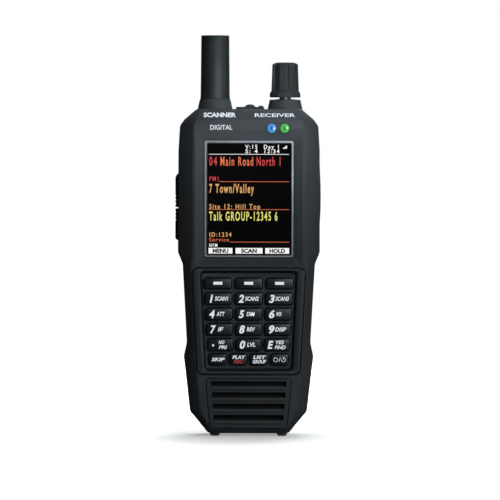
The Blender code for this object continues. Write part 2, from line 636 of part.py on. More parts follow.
def loudspeaker():
    outline = corner_points(GRILLE_LOW, GRILLE_HIGH, GRILLE_HALF_LOW, GRILLE_HALF_HIGH, 1.6)
    grille = place("speaker_grille", plate(outline, 0.1, GRILLE_THICK), "case")
    slots = bmesh.new()
    for i in range(SLAT_COUNT):
        low = SLAT_TOP - SLAT_PITCH * i
        high = low + SLAT_PITCH - SLAT_HEIGHT
        half = slot_half(low)
        add_box(slots, (-half, half), (-1, GRILLE_THICK + 1), (low, high))
    cut(grille, place("grille_slots", slots, "case"))
    cloth = box((-CLOTH_HALF, CLOTH_HALF), (FRONT_WALL + GAP, FRONT_WALL + GAP + CLOTH_THICK),
                (CLOTH_LOW, CLOTH_HIGH))
    place("speaker_cloth", cloth, "rubber")
    rim, basket = SPEAKER_DEPTH + SPEAKER_RIM, SPEAKER_DEPTH + SPEAKER_BASKET
    profile = (
        (SPEAKER_RADIUS, SPEAKER_DEPTH), (SPEAKER_RADIUS, rim), (SPEAKER_RADIUS - 3, basket),
        (MAGNET_RADIUS, basket), (MAGNET_RADIUS, SPEAKER_DEPTH + SPEAKER_THICK),
    )
    driver = place("speaker_driver", bored(profile, (0, SPEAKER_Z), 28), "metal")
    mouth = SPEAKER_RADIUS - 1.4
    profile = ((mouth, SPEAKER_DEPTH - 1), (mouth, SPEAKER_DEPTH + 0.4), (4.0, SPEAKER_DEPTH + 3.0))
    cut(driver, place("speaker_cone", bored(profile, (0, SPEAKER_Z), 28), "metal"))


# ---------------------------------------------------------------- lamps and boards
def lamps():
    kinds = (("led_lens_alert", LAMP_ALERT_X, "blue"), ("led_lens_status", LAMP_STATUS_X, "green"))
    for name, x, finish in kinds:
        small = LAMP_RADIUS - 0.5
        profile = (
            (small, -0.25), (LAMP_RADIUS, 0.1), (LAMP_RADIUS, FRONT_WALL + 1.6), (small, FRONT_WALL + 2.6),
        )
        smooth(place(name, bored(profile, (x, LAMP_Z)), finish))


def boards():
    board = box((-BOARD_HALF, BOARD_HALF), (BOARD_DEPTH, BOARD_DEPTH + BOARD_THICK), (BOARD_LOW, BOARD_HIGH))
    place("main_board", board, "board")
    back = SHIELD_DEPTH + SHIELD_THICK
    can = box((-SHIELD_HALF, SHIELD_HALF), (SHIELD_DEPTH, back), (SHIELD_LOW, SHIELD_HIGH))
    shield = place("shield_frame", can, "metal")
    half = SHIELD_HALF - SHIELD_WALL
    inside = box((-half, half), (SHIELD_DEPTH - 0.9, back - SHIELD_WALL),
                 (SHIELD_LOW + SHIELD_WALL, SHIELD_HIGH - SHIELD_WALL))
    cut(shield, place("shield_inside", inside, "metal"))
    outer = side_wall(PORT_LOW, PORT_HIGH) - PORT_SUNK - 2 * GAP
    half = USB_THICK / 2 - GAP
    usb = box((outer - USB_LENGTH, outer), (USB_DEPTH - half, USB_DEPTH + half),
              (USB_Z[0] + GAP, USB_Z[1] - GAP))
    socket = place("usb_socket", usb, "metal")
    mouth = box((outer - USB_LENGTH + 1, outer + 1), (USB_DEPTH - half + 0.5, USB_DEPTH + half - 0.5),
                (USB_Z[0] + 0.8, USB_Z[1] - 0.8))
    cut(socket, place("usb_mouth", mouth, "metal"))


# ---------------------------------------------------------------- top deck
def antenna():
    centre = (ANTENNA_X, at(TOWER_DEPTH))
    flange = DECK - WALL - GAP
    profile = (
        (JACK_FLANGE, flange - 2.4), (JACK_FLANGE, flange), (JACK_RADIUS, flange),
        (JACK_RADIUS, JACK_TOP - 0.3), (JACK_RADIUS - 0.3, JACK_TOP),
    )
    jack = place("antenna_jack", turned(profile, centre), "brass")
    hole = turned(((JACK_HOLE, JACK_TOP - PIN_REACH - 2), (JACK_HOLE, JACK_TOP + 1)), centre, 16)
    cut(jack, place("jack_hole", hole, "brass"))
    smooth(jack)
    low = TOWER_TOP + GAP
    profile = (
        (ANTENNA_RADIUS_LOW - 0.3, low), (ANTENNA_RADIUS_LOW, low + 0.3),
        (ANTENNA_RADIUS_TOP, ANTENNA_TOP - 0.4), (ANTENNA_RADIUS_TOP - 0.4, ANTENNA_TOP),
    )
    sleeve = place("antenna", turned(profile, centre, 36), "rubber", (*centre, low))
    roof = JACK_TOP + 0.5
    profile = (
        (JACK_RADIUS + GAP, low - 1), (JACK_RADIUS + GAP, roof), (JACK_HOLE, roof),
        (JACK_HOLE, JACK_TOP + PIN_REACH + 1),
    )
    cut(sleeve, place("antenna_socket", turned(profile, centre), "rubber"))
    smooth(sleeve)
    tip = JACK_TOP - PIN_REACH
    profile = ((PIN_RADIUS - 0.2, tip - 0.5), (PIN_RADIUS, tip), (PIN_RADIUS, JACK_TOP + PIN_REACH))
    smooth(place("antenna_pin", turned(profile, centre, 12), "brass", (*centre, JACK_TOP)))


def encoder(centre, plunger_top, shaft_top):
    """The switch that the knob turns and presses: body with bushing, plunger and shaft."""
    half = ENCODER_SIZE / 2
    body = place("encoder_body", box(
        (KNOB_X - half, KNOB_X + half), (TOWER_DEPTH - half, TOWER_DEPTH + half),
        (ENCODER_LOW, DECK - WALL - GAP)), "metal")
    bushing = turned(((BUSHING_RADIUS, DECK - WALL - 1), (BUSHING_RADIUS, TOWER_TOP + 0.25)), centre)
    join(body, place("encoder_bushing", bushing, "metal"))
    bore = SHAFT_RADIUS + GAP
    inside = turned(((bore, ENCODER_LOW - 1), (bore, TOWER_TOP + 1)), centre)
    cut(body, place("encoder_bore", inside, "metal"))
    plunger = turned(((SHAFT_RADIUS, plunger_top - PLUNGER_LENGTH), (SHAFT_RADIUS, plunger_top)), centre, 16)
    place("encoder_plunger", plunger, "case", (*centre, plunger_top))
    shaft = turned(((SHAFT_RADIUS, plunger_top + GAP), (SHAFT_RADIUS, shaft_top)), centre, 20)
    place("encoder_shaft", shaft, "metal", (*centre, plunger_top))


def knob():
    """The fluted knob, with the encoder under it."""
    centre = (KNOB_X, at(TOWER_DEPTH))
    shaft_top = KNOB_TOP - 4.0
    encoder(centre, ENCODER_LOW + 1 + PLUNGER_LENGTH, shaft_top)
    skirt = KNOB_LOW + KNOB_SKIRT_HEIGHT
    profile = (
        (KNOB_SKIRT_RADIUS, KNOB_LOW), (KNOB_SKIRT_RADIUS - 0.15, skirt - 0.4),
        (KNOB_RADIUS_LOW, skirt), (KNOB_RADIUS_TOP, KNOB_TOP - 1.3),
        (KNOB_RADIUS_TOP - 0.8, KNOB_TOP - 0.5), (KNOB_RADIUS_TOP - 2.6, KNOB_TOP),
    )
    cap = place("knob", turned(profile, centre, 40), "rubber", (*centre, KNOB_LOW))
    flutes = bmesh.new()
    far = KNOB_RADIUS_LOW + FLUTE_OUT
    for i in range(KNOB_FLUTES):
        angle = 2 * math.pi * i / KNOB_FLUTES - math.pi / 2
        spot = (centre[0] + far * math.cos(angle), centre[1] + far * math.sin(angle))
        add_turned(flutes, ((FLUTE_RADIUS, skirt + 0.8), (FLUTE_RADIUS, KNOB_TOP + 1)), spot, 12)
    cut(cap, place("knob_flutes", flutes, "rubber"))
    bore = SHAFT_RADIUS + GAP
    inside = turned(((bore, KNOB_LOW - 1), (bore, shaft_top + GAP)), centre, 20)
    cut(cap, place("knob_bore", inside, "rubber"))


def earphone():
    centre = (EAR_X, at(TOWER_DEPTH))
    half = EAR_JACK_HALF
    body = box((EAR_X - half, EAR_X + half), (TOWER_DEPTH - half, TOWER_DEPTH + half),
               (EAR_JACK_LOW, DECK - WALL - GAP))
    jack = place("earphone_jack", body, "case")
    ring = turned(((EAR_RING, DECK - WALL - 1), (EAR_RING, DECK - 1.6)), centre, 20)
    join(jack, place("earphone_ring", ring, "case"))
    hole = turned(((EAR_BORE, EAR_JACK_LOW + 2), (EAR_BORE, DECK)), centre, 16)
    cut(jack, place("earphone_hole", hole, "case"))
    low = DECK + GAP
    half = EAR_PLATE_WIDTH / 2
    cover = place("jack_cover", box(
        (EAR_PLATE_LEFT, EAR_PLATE_RIGHT), (TOWER_DEPTH - half, TOWER_DEPTH + half),
        (low, low + EAR_PLATE_THICK)), "rubber", (EAR_PLATE_LEFT, centre[1], low))
    top = low + EAR_PLATE_THICK
    dome = turned(
        ((EAR_DOME_RADIUS, top - 0.3), (EAR_DOME_RADIUS - 0.2, top + 0.3),
         (EAR_DOME_RADIUS - 0.9, top + EAR_DOME_HEIGHT - 0.3), (0.6, top + EAR_DOME_HEIGHT)), centre, 20)
    tab = box((EAR_PLATE_RIGHT - 2.7, EAR_PLATE_RIGHT - 0.4), (TOWER_DEPTH - 3, TOWER_DEPTH + 3),
              (top - 0.3, top + 0.6))
    plug = turned(((2.0, DECK - 0.9), (2.3, DECK - 0.6), (2.3, low + 0.3)), centre, 20)
    join(cover, place("cover_dome", dome, "rubber"), place("cover_tab", tab, "rubber"),
         place("cover_plug", plug, "rubber"))


# ---------------------------------------------------------------- sides
def side_keys():
    wall = side_wall(SIDE_KEY_LOW, SIDE_KEY_HIGH)
    outer, inner = -wall - SIDE_KEY_PROUD, -wall + WALL + GAP
    half = SIDE_KEY_HALF
    for name, end, upward in (("side_key_upper", SIDE_KEY_HIGH, 1), ("side_key_lower", SIDE_KEY_LOW, -1)):
        outline = side_key_profile(outer, inner, end, upward)
        rings = [[(x, at(depth), z) for x, z in outline] for depth in (SIDE_KEY_FRONT, SIDE_KEY_BACK)]
        place(name, loft(rings), "rubber", (inner, at(half), (end + SIDE_KEY_MIDDLE) / 2))


def side_key_profile(outer, inner, end, upward):
    """The (x, z) outline of a side key, from its flange at the end to the ribs by its neighbour."""
    near = SIDE_KEY_MIDDLE + upward * GAP
    slope = 1.6 if upward > 0 else 0.8
    points = [
        (inner + 0.8, near), (inner + 0.8, end + upward * SIDE_KEY_FLANGE),
        (inner, end + upward * SIDE_KEY_FLANGE), (inner, end), (outer + 0.9, end),
        (outer, end - upward * slope),
    ]
    for i in reversed(range(SIDE_KEY_RIBS)):
        middle = near + upward * (1.6 + SIDE_KEY_RIB_PITCH * i)
        points += [
            (outer, middle + upward * 0.55), (outer + SIDE_KEY_RIB_DEPTH, middle),
            (outer, middle - upward * 0.55),
        ]
    return points + [(outer, near + upward * 0.3), (outer + 0.3, near)]


def port_cover():
    """The rubber flap over the data socket, crowned a little along its length."""
    wall_x = side_wall(PORT_LOW, PORT_HIGH)
    inner = wall_x - PORT_SUNK
    rings = []
    crown = ((0.0, 0.05), (0.12, 0.35), (0.3, 0.85), (0.5, 1.0), (0.7, 0.85), (0.88, 0.35), (1.0, 0.05))
    for share, proud in crown:
        z = PORT_LOW + share * (PORT_HIGH - PORT_LOW)
        x = wall_x + PORT_PROUD * proud
        rings.append([
            (inner, at(PORT_FRONT), z), (x - 0.3, at(PORT_FRONT), z), (x, at(PORT_FRONT + 0.8), z),
            (x, at(PORT_BACK - 0.8), z), (x - 0.3, at(PORT_BACK), z), (inner, at(PORT_BACK), z),
        ])
    place("port_cover", loft(rings), "rubber",
          (wall_x + 0.2, at((PORT_FRONT + PORT_BACK) / 2), PORT_HIGH))


# ---------------------------------------------------------------- battery and back
def battery():
    pack = box((-TRAY_HALF + GAP, TRAY_HALF - GAP), (TRAY_FLOOR + GAP, CASE_DEPTH - COVER_THICK - 1.2),
               (TRAY_LOW + GAP, TRAY_HIGH - GAP))
    place("battery_pack", pack, "battery")
    outline = corner_points(COVER_LOW, COVER_HIGH, COVER_HALF, COVER_HALF, 2.5)
    inner = corner_points(COVER_LOW + 0.5, COVER_HIGH - 0.5, COVER_HALF - 0.5, COVER_HALF - 0.5, 2.2)
    front = CASE_DEPTH - COVER_THICK
    rings = facing(outline, (front, CASE_DEPTH - 0.4)) + facing(inner, (CASE_DEPTH,))
    cover = place("battery_cover", loft(rings), "case", (0, at(front), COVER_HIGH))
    cuts = bmesh.new()
    hole, mouth = COVER_SHANK_RADIUS + GAP, COVER_SCREW_RADIUS + GAP
    profile = (
        (hole, front - 1), (hole, COVER_HEAD_SEAT), (mouth, COVER_HEAD_SEAT), (mouth, CASE_DEPTH + 1),
    )
    for side in (-1, 1):
        add_bored(cuts, profile, (side * COVER_SCREW_X, COVER_SCREW_Z))
    for i in range(COVER_GRIPS):
        z = COVER_GRIP_LOW + COVER_GRIP_PITCH * i
        groove = (CASE_DEPTH - 0.5, CASE_DEPTH + 1)
        add_box(cuts, (-COVER_GRIP_HALF, COVER_GRIP_HALF), groove, (z - 0.6, z + 0.6))
    cut(cover, place("cover_cuts", cuts, "case"))
    cover_screw("cover_screw_left", -1)
    cover_screw("cover_screw_right", 1)


def cover_screw(name, side):
    """A slotted screw that stays in the battery cover."""
    x, z = side * COVER_SCREW_X, COVER_SCREW_Z
    head = COVER_HEAD_SEAT + GAP
    profile = (
        (COVER_SHANK_RADIUS, COVER_SHANK_TIP), (COVER_SHANK_RADIUS, head), (COVER_SCREW_RADIUS, head),
        (COVER_SCREW_RADIUS, CASE_DEPTH - 0.2),
    )
    screw = place(name, bored(profile, (x, z)), "metal", (x, at(CASE_DEPTH), z))
    slot = box((x - 4, x + 4), (CASE_DEPTH - 0.5, CASE_DEPTH + 2), (z - 0.5, z + 0.5))
    cut(screw, place(name + "_slot", slot, "metal"))


def case_screws():
    names = ("case_screw_top_right", "case_screw_top_left", "case_screw_low_right", "case_screw_low_left")
    head = CASE_DEPTH - SCREW_HEAD_SEAT + GAP
    profile = (
        (SCREW_SHANK_RADIUS, SCREW_TIP), (SCREW_SHANK_RADIUS, head), (SCREW_HEAD_RADIUS, head),
        (SCREW_HEAD_RADIUS, CASE_DEPTH - 0.5),
    )
    for name, (x, z) in zip(names, screws_right_and_left()):
        screw = place(name, bored(profile, (x, z), 16), "metal")
        slots = bmesh.new()
        add_box(slots, (x - 1.1, x + 1.1), (CASE_DEPTH - 1.3, CASE_DEPTH + 1), (z - 0.3, z + 0.3))
        upright = bmesh.new()
        add_box(upright, (x - 0.3, x + 0.3), (CASE_DEPTH - 1.3, CASE_DEPTH + 1), (z - 1.1, z + 1.1))
        cut(screw, place(name + "_slot", slots, "metal"), place(name + "_cross", upright, "metal"))


# ---------------------------------------------------------------- the scanner
def main():
    for obj in list(bpy.data.objects):
        bpy.data.objects.remove(obj)
    front_housing()
    rear_housing()
    housing_gasket()
    display()
    keypad()
    loudspeaker()
    lamps()
    boards()
    antenna()
    knob()
    earphone()
    side_keys()
    port_cover()
    battery()
    case_screws()


main()
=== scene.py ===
"""Looks of the handheld radio scanner: moulded case, rubber keys with printed legends, a lit display
behind glass, fluted knob and sleeved antenna. All sizes in the classes are in millimetres."""

import json
import logging
import math
from dataclasses import dataclass, field
from enum import Enum
from typing import Any, Iterable, Sequence

import bmesh
import bpy
from mathutils import Matrix, Vector

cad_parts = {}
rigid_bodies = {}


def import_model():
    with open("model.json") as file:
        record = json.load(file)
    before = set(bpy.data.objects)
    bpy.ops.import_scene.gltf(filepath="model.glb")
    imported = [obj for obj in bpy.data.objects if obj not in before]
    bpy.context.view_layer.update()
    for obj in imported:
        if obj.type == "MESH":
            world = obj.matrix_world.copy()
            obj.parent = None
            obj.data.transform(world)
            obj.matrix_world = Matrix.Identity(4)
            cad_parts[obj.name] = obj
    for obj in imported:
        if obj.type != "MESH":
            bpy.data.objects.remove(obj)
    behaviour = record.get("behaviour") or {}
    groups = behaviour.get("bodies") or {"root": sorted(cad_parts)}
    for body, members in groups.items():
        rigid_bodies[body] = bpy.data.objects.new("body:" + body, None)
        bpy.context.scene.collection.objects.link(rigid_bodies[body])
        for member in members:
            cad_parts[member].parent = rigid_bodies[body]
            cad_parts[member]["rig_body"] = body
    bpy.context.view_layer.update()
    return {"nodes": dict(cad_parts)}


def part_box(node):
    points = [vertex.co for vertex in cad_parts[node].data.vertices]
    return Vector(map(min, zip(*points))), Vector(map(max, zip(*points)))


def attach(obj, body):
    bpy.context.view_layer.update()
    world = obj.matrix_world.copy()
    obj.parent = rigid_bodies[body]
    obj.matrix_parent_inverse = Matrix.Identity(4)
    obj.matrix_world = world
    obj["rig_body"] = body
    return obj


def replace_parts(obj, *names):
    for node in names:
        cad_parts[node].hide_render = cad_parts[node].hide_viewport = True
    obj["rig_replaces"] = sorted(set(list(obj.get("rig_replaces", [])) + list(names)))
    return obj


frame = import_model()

LOG = logging.getLogger("scanner")
MM = 0.001
Colour = tuple[float, float, float]
Pair = tuple[float, float]
Row = tuple[str, float, float, float, float]  # text, left, foot, height and width in millimetres
Mesh = bmesh.types.BMesh
Material = bpy.types.Material
Piece = bpy.types.Object
CREASE = 30.0  # degrees over which a live bevel rounds an edge
FLAT = 1.0  # degrees under which two facets are one face
PARALLEL = 0.999  # share of an edge that runs along an axis, over which it counts as parallel to it
WELD = 2e-6  # metres between points that are the same corner of a CAD solid
TOUCH = 1e-7  # metres within which a point lies on a plane
CAPITAL = 0.70  # height of a capital letter of size 1
LETTER_DEPTH = 0.02  # thickness of the letters of size 1, and of a printed film in millimetres


# ---- shader tools
class Value:
    """A number in a shader: arithmetic on it adds Math nodes to its graph."""

    def __init__(self, graph: "Graph", socket: Any) -> None:
        """Keeps the graph and the socket that carries the number."""
        self.graph = graph
        self.socket = socket

    def _math(self, operation: str, first: Any, second: Any) -> "Value":
        """Adds one Math node.

        Args:
            operation: The Math node's operation.
            first: A number or a Value.
            second: A number or a Value.

        Returns:
            The node's result.
        """
        node = self.graph.node("ShaderNodeMath", {"operation": operation}, {0: first, 1: second})
        return Value(self.graph, node.outputs[0])

    def __add__(self, other: Any) -> "Value":
        """The sum."""
        return self._math("ADD", self, other)

    __radd__ = __add__

    def __mul__(self, other: Any) -> "Value":
        """The product."""
        return self._math("MULTIPLY", self, other)

    __rmul__ = __mul__

    def __sub__(self, other: Any) -> "Value":
        """The difference."""
        return self._math("SUBTRACT", self, other)

    def __rsub__(self, other: Any) -> "Value":
        """The difference with the operands the other way round."""
        return self._math("SUBTRACT", other, self)

    def __truediv__(self, other: Any) -> "Value":
        """The quotient."""
        return self._math("DIVIDE", self, other)


class Graph:
    """A material's nodes, with its Principled shader."""

    def __init__(self, name: str) -> None:
        """Makes the material.

        Args:
            name: The material's name.
        """
        self.material = bpy.data.materials.new(name)
        self.material.use_nodes = True
        self.shader = self.material.node_tree.nodes["Principled BSDF"]

    def node(self, kind: str, settings: dict[str, Any], inputs: dict[Any, Any]) -> Any:
        """Adds a node.

        Args:
            kind: The node's type.
            settings: Properties, set before the sockets.
            inputs: Socket name or number to a number, a Value or a socket.

        Returns:
            The node.
        """
        made = self.material.node_tree.nodes.new(kind)
        for key, setting in settings.items():
            if key == "stops":
                self._stops(made.color_ramp, setting)
            else:
                setattr(made, key, setting)
        for key, value in inputs.items():
            self.feed(made.inputs[key], value)
        return made

    @staticmethod
    def _stops(ramp: Any, stops: Sequence[tuple[float, Colour]]) -> None:
        """Sets a colour ramp's stops.

        Args:
            ramp: The node's ramp.
            stops: Each stop's position and colour.
        """
        while len(ramp.elements) < len(stops):
            ramp.elements.new(1.0)
        for element, (position, colour) in zip(ramp.elements, stops):
            element.position = position
            element.color = (*colour, 1.0)

    def feed(self, socket: Any, value: Any) -> None:
        """Sets a socket, or links something to it.

        Args:
            socket: The socket.
            value: A number, a colour, a Value or another socket.
        """
        if isinstance(value, Value):
            value = value.socket
        if isinstance(value, bpy.types.NodeSocket):
            self.material.node_tree.links.new(value, socket)
        else:
            socket.default_value = value

    def set(self, **values: Any) -> None:
        """Feeds the Principled shader's sockets, named with underscores for spaces."""
        for key, value in values.items():
            self.feed(self.shader.inputs[key.replace("_", " ")], value)

    def place(self) -> Any:
        """The object coordinates' socket, in metres."""
        return self.node("ShaderNodeTexCoord", {}, {}).outputs["Object"]

    def noise(self, scale: float, detail: float = 2.0) -> Value:
        """Noise in object space.

        Args:
            scale: Cycles per metre.
            detail: Octaves.

        Returns:
            The noise, about 0 to 1.
        """
        made = self.node("ShaderNodeTexNoise", {}, {"Vector": self.place(), "Scale": scale, "Detail": detail})
        return Value(self, made.outputs[0])

    def blend(self, share: Value, low: Colour, high: Colour) -> Any:
        """Mixes two colours.

        Args:
            share: How much of the second colour there is, 0 to 1.
            low: The first colour.
            high: The second colour.

        Returns:
            The Mix node's colour socket.
        """
        made = self.node("ShaderNodeMix", {"data_type": "RGBA"},
                         {"Factor": share, 6: (*low, 1.0), 7: (*high, 1.0)})
        return made.outputs[2]

    def bump(self, height: Value, strength: float, distance: float) -> Any:
        """The socket of a normal that the height shapes.

        Args:
            height: The height, about 0 to 1.
            strength: The bump's strength.
            distance: The height of 1, in millimetres.

        Returns:
            The Bump node's normal.
        """
        made = self.node("ShaderNodeBump", {}, {"Strength": strength, "Distance": distance * MM, "Height": height})
        return made.outputs[0]


# ---- finishes
@dataclass(frozen=True)
class Moulding:
    """Moulded plastic or rubber with a fine eroded grain and a little handling wear."""

    name: str
    colour: Colour
    light: Colour
    roughness: float
    grain: float = 0.22
    depth: float = 0.012
    wear: float = 0.10
    shine: float = 0.5
    mottle_scale: float = 90.0
    rub_scale: float = 34.0
    grain_share: float = 0.3
    grain_gloss: float = 0.06
    relief: float = 0.55

    def build(self) -> Material:
        """Mottles the colour, makes the gloss uneven and sets the grain in relief.

        Returns:
            The material.
        """
        graph = Graph(self.name)
        mottle = graph.noise(self.mottle_scale, 4.0)
        grain = graph.noise(1 / (self.grain * MM), 2.0)
        rub = graph.noise(self.rub_scale, 5.0)
        graph.set(
            Base_Color=graph.blend(mottle * (1 - self.grain_share) + grain * self.grain_share,
                                   self.colour, self.light),
            Roughness=rub * (2 * self.wear) + grain * self.grain_gloss
            + (self.roughness - self.wear - self.grain_gloss / 2),
            Normal=graph.bump(grain, self.relief, self.depth),
            Specular_IOR_Level=self.shine,
        )
        return graph.material


@dataclass(frozen=True)
class Metal:
    """Plated or turned metal with fine scratches."""

    name: str
    colour: Colour
    roughness: float
    scratch_scale: float = 2600.0
    scratch_gloss: float = 0.14
    scratch_depth: float = 0.006
    smudge_scale: float = 180.0
    smudge: float = 0.8

    def build(self) -> Material:
        """Smudges the colour and scratches the gloss.

        Returns:
            The material.
        """
        graph = Graph(self.name)
        scratch = graph.noise(self.scratch_scale, 3.0)
        smudge = graph.noise(self.smudge_scale, 2.0)
        dark = tuple(self.smudge * part for part in self.colour)
        graph.set(
            Base_Color=graph.blend(smudge, dark, self.colour),
            Metallic=1.0,
            Roughness=scratch * self.scratch_gloss + (self.roughness - 0.05),
            Normal=graph.bump(scratch, 0.3, self.scratch_depth),
        )
        return graph.material


@dataclass(frozen=True)
class Glass:
    """The clear window over the display: thin, polished, slightly grey."""

    name: str
    clearness: float = 0.96
    grey: Colour = (0.012, 0.013, 0.015)
    smear_scale: float = 60.0

    def build(self) -> Material:
        """Makes it mostly see-through, with a faint smear in its gloss.

        Returns:
            The material.
        """
        graph = Graph(self.name)
        smear = graph.noise(self.smear_scale, 3.0)
        graph.set(
            Base_Color=(*self.grey, 1.0),
            Roughness=smear * 0.05 + 0.02,
            Alpha=smear * 0.02 + (1 - self.clearness),
        )
        return graph.material


@dataclass(frozen=True)
class Ink:
    """Printed legend: a flat film with a fine speckle in its colour, and a painted glow that brightens it,
    strongest on the keys.
    """

    name: str
    colour: Colour
    # painted glow: emission that brightens the print beyond the light falling on it
    painted_glow: float = 0.0
    speckle_scale: float = 3200.0
    speckle: float = 0.86

    def build(self) -> Material:
        """Speckles the colour and lights it a little.

        Returns:
            The material.
        """
        graph = Graph(self.name)
        speckle = graph.noise(self.speckle_scale, 2.0)
        dull = tuple(self.speckle * part for part in self.colour)
        film = graph.blend(speckle, dull, self.colour)
        graph.set(Base_Color=film, Roughness=speckle * 0.1 + 0.5, Emission_Color=film,
                  Emission_Strength=self.painted_glow)
        return graph.material


@dataclass(frozen=True)
class Glow:
    """A lit part of the display, made of small dots."""

    name: str
    colour: Colour
    strength: float
    pitch: float = 0.306
    dimness: float = 0.84

    def build(self) -> Material:
        """Breaks the light into the panel's dots.

        Returns:
            The material.
        """
        graph = Graph(self.name)
        flicker = graph.noise(1 / (self.pitch * MM), 0.0)
        dim = tuple(self.dimness * part for part in self.colour)
        graph.set(
            Base_Color=(0.0, 0.0, 0.0, 1.0),
            Roughness=0.6,
            Emission_Color=graph.blend(flicker, dim, self.colour),
            Emission_Strength=self.strength,
        )
        return graph.material


@dataclass(frozen=True)
class Lamp:
    """An indicator's lens, brighter round its rim than in its middle."""

    name: str
    rim: Colour
    middle: Colour
    centre: Pair
    radius: float
    stops: tuple[float, float, float, float] = (0.18, 0.42, 0.80, 1.0)
    strength: float = 0.8

    def material(self) -> Material:
        """Ramps the light over the distance from the lamp's axis.

        Returns:
            The material.
        """
        graph = Graph(self.name)
        parts = graph.node("ShaderNodeSeparateXYZ", {}, {0: graph.place()}).outputs
        across = Value(graph, parts[0]) - self.centre[0] * MM
        up = Value(graph, parts[2]) - self.centre[1] * MM
        square = (across * across + up * up) / ((self.radius * MM) ** 2)
        colours = (self.middle, self.rim, self.rim, self.middle)
        ramp = graph.node("ShaderNodeValToRGB", {"stops": tuple(zip(self.stops, colours))}, {0: square})
        graph.set(
            Base_Color=(*(0.3 * part for part in self.middle), 1.0),
            Roughness=0.25,
            Emission_Color=ramp.outputs[0],
            Emission_Strength=self.strength,
        )
        return graph.material


class Finish(Enum):
    """The finishes of the scanner's pieces."""

    CASE = Moulding("case_plastic", (0.0050, 0.0066, 0.0086), (0.0095, 0.0122, 0.0150), 0.44, shine=0.34)
    BEZEL = Moulding("bezel_plastic", (0.0078, 0.0098, 0.0122), (0.0140, 0.0165, 0.0198), 0.44)
    KEY = Moulding("key_rubber", (0.0030, 0.0062, 0.0082), (0.0060, 0.0105, 0.0130), 0.29, 0.16, 0.005, 0.06)
    RUBBER = Moulding("soft_rubber", (0.0045, 0.0054, 0.0066), (0.0090, 0.0105, 0.0120), 0.48, 0.20, 0.010)
    SLEEVE = Moulding("antenna_sleeve", (0.0075, 0.0105, 0.0118), (0.0130, 0.0170, 0.0185), 0.60, 0.30, 0.010)
    GRILLE = Moulding("grille_plastic", (0.0078, 0.0094, 0.0112), (0.0138, 0.0160, 0.0186), 0.44)
    DARK = Moulding("inner_plastic", (0.0030, 0.0030, 0.0034), (0.0065, 0.0065, 0.0070), 0.70)
    CLOTH = Moulding("speaker_felt", (0.0020, 0.0020, 0.0022), (0.0060, 0.0060, 0.0064), 0.90, 0.45, 0.06)
    PANEL = Moulding("panel_black", (0.0010, 0.0009, 0.0010), (0.0018, 0.0016, 0.0018), 0.16, 0.3, 0.001, 0.04, 0.2)
    WRAP = Moulding("battery_wrap", (0.045, 0.050, 0.058), (0.075, 0.082, 0.092), 0.34, 0.6, 0.008)
    BOARD = Moulding("solder_mask", (0.0090, 0.0700, 0.0300), (0.0200, 0.1300, 0.0600), 0.40)
    TRIM = Metal("silver_film", (0.27, 0.28, 0.30), 0.42)
    STEEL = Metal("plated_steel", (0.46, 0.46, 0.48), 0.32)
    BLACK_STEEL = Metal("black_steel", (0.06, 0.06, 0.065), 0.38)
    BRASS = Metal("turned_brass", (0.72, 0.52, 0.22), 0.28)
    LENS = Glass("window_glass")
    # each ink's last number is its painted glow
    WHITE = Ink("white_ink", (0.84, 0.86, 0.88), 0.12)
    GLOWING_KEY_PRINT = Ink("glowing_key_ink", (0.84, 0.87, 0.90), 0.55)
    RED = Ink("red_ink", (0.60, 0.04, 0.05), 0.25)
    LIT_WHITE = Glow("lit_white", (0.90, 0.90, 0.88), 1.25)
    LIT_RED = Glow("lit_red", (0.58, 0.035, 0.035), 1.15)
    LIT_ORANGE = Glow("lit_orange", (0.72, 0.15, 0.05), 1.15)
    LIT_AMBER = Glow("lit_amber", (0.80, 0.40, 0.13), 1.15)
    LIT_YELLOW = Glow("lit_yellow", (0.78, 0.74, 0.16), 1.15)
    LIT_OFF = Glow("lit_off", (0.01, 0.01, 0.01), 0.1)

    def material(self) -> Material:
        """The finish's material, made the first time it is asked for."""
        return bpy.data.materials.get(self.value.name) or self.value.build()


# ---- mesh tools
def body_of(node: str) -> str:
    """The name of the body that a CAD node rides on."""
    return frame["nodes"][node]["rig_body"]


def add_piece(name: str, bm: Mesh, finish: "Finish | Lamp", body: str,
              replaces: Iterable[str] = (), sharp: float = 38.0) -> Piece:
    """Turns a mesh in metres into a finished piece that rides on a body.

    Args:
        name: The piece's name.
        bm: The mesh, freed here.
        finish: Its finish.
        body: The CAD body that it moves with.
        replaces: CAD nodes that it stands for.
        sharp: Edges over this many degrees stay sharp.

    Returns:
        The piece.
    """
    mesh = bpy.data.meshes.new(name)
    bm.to_mesh(mesh)
    bm.free()
    mesh.materials.append(finish.material())
    mesh.shade_smooth()
    mesh.set_sharp_from_angle(angle=math.radians(sharp))
    piece = bpy.data.objects.new(name, mesh)
    bpy.context.scene.collection.objects.link(piece)
    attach(piece, body)
    if replaces:
        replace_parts(piece, *replaces)
    LOG.info("%s rides on %s, %d faces", name, body, len(mesh.polygons))
    return piece


def round_edges(piece: Piece, width: float, segments: int = 2) -> None:
    """Adds a live bevel.

    Args:
        piece: The piece.
        width: The bevel's width in millimetres.
        segments: Its segments.
    """
    bevel = piece.modifiers.new("Rounded edges", "BEVEL")
    bevel.width = width * MM
    bevel.segments = segments
    bevel.limit_method = "ANGLE"
    bevel.angle_limit = math.radians(CREASE)
    bevel.harden_normals = True


def softened(node: str, name: str, finish: Finish, width: float, segments: int = 2) -> None:
    """Puts a copy of a CAD node in its place, with its facets merged and its edges rounded.

    Args:
        node: The CAD node.
        name: The piece's name.
        finish: Its finish.
        width: The rounding in millimetres.
        segments: The rounding's segments.
    """
    bm = bmesh.new()
    bm.from_mesh(frame["nodes"][node].data)
    bmesh.ops.remove_doubles(bm, verts=bm.verts, dist=WELD)
    bmesh.ops.dissolve_limit(bm, angle_limit=math.radians(FLAT), verts=bm.verts, edges=bm.edges)
    round_edges(add_piece(name, bm, finish, body_of(node), (node,)), width, segments)


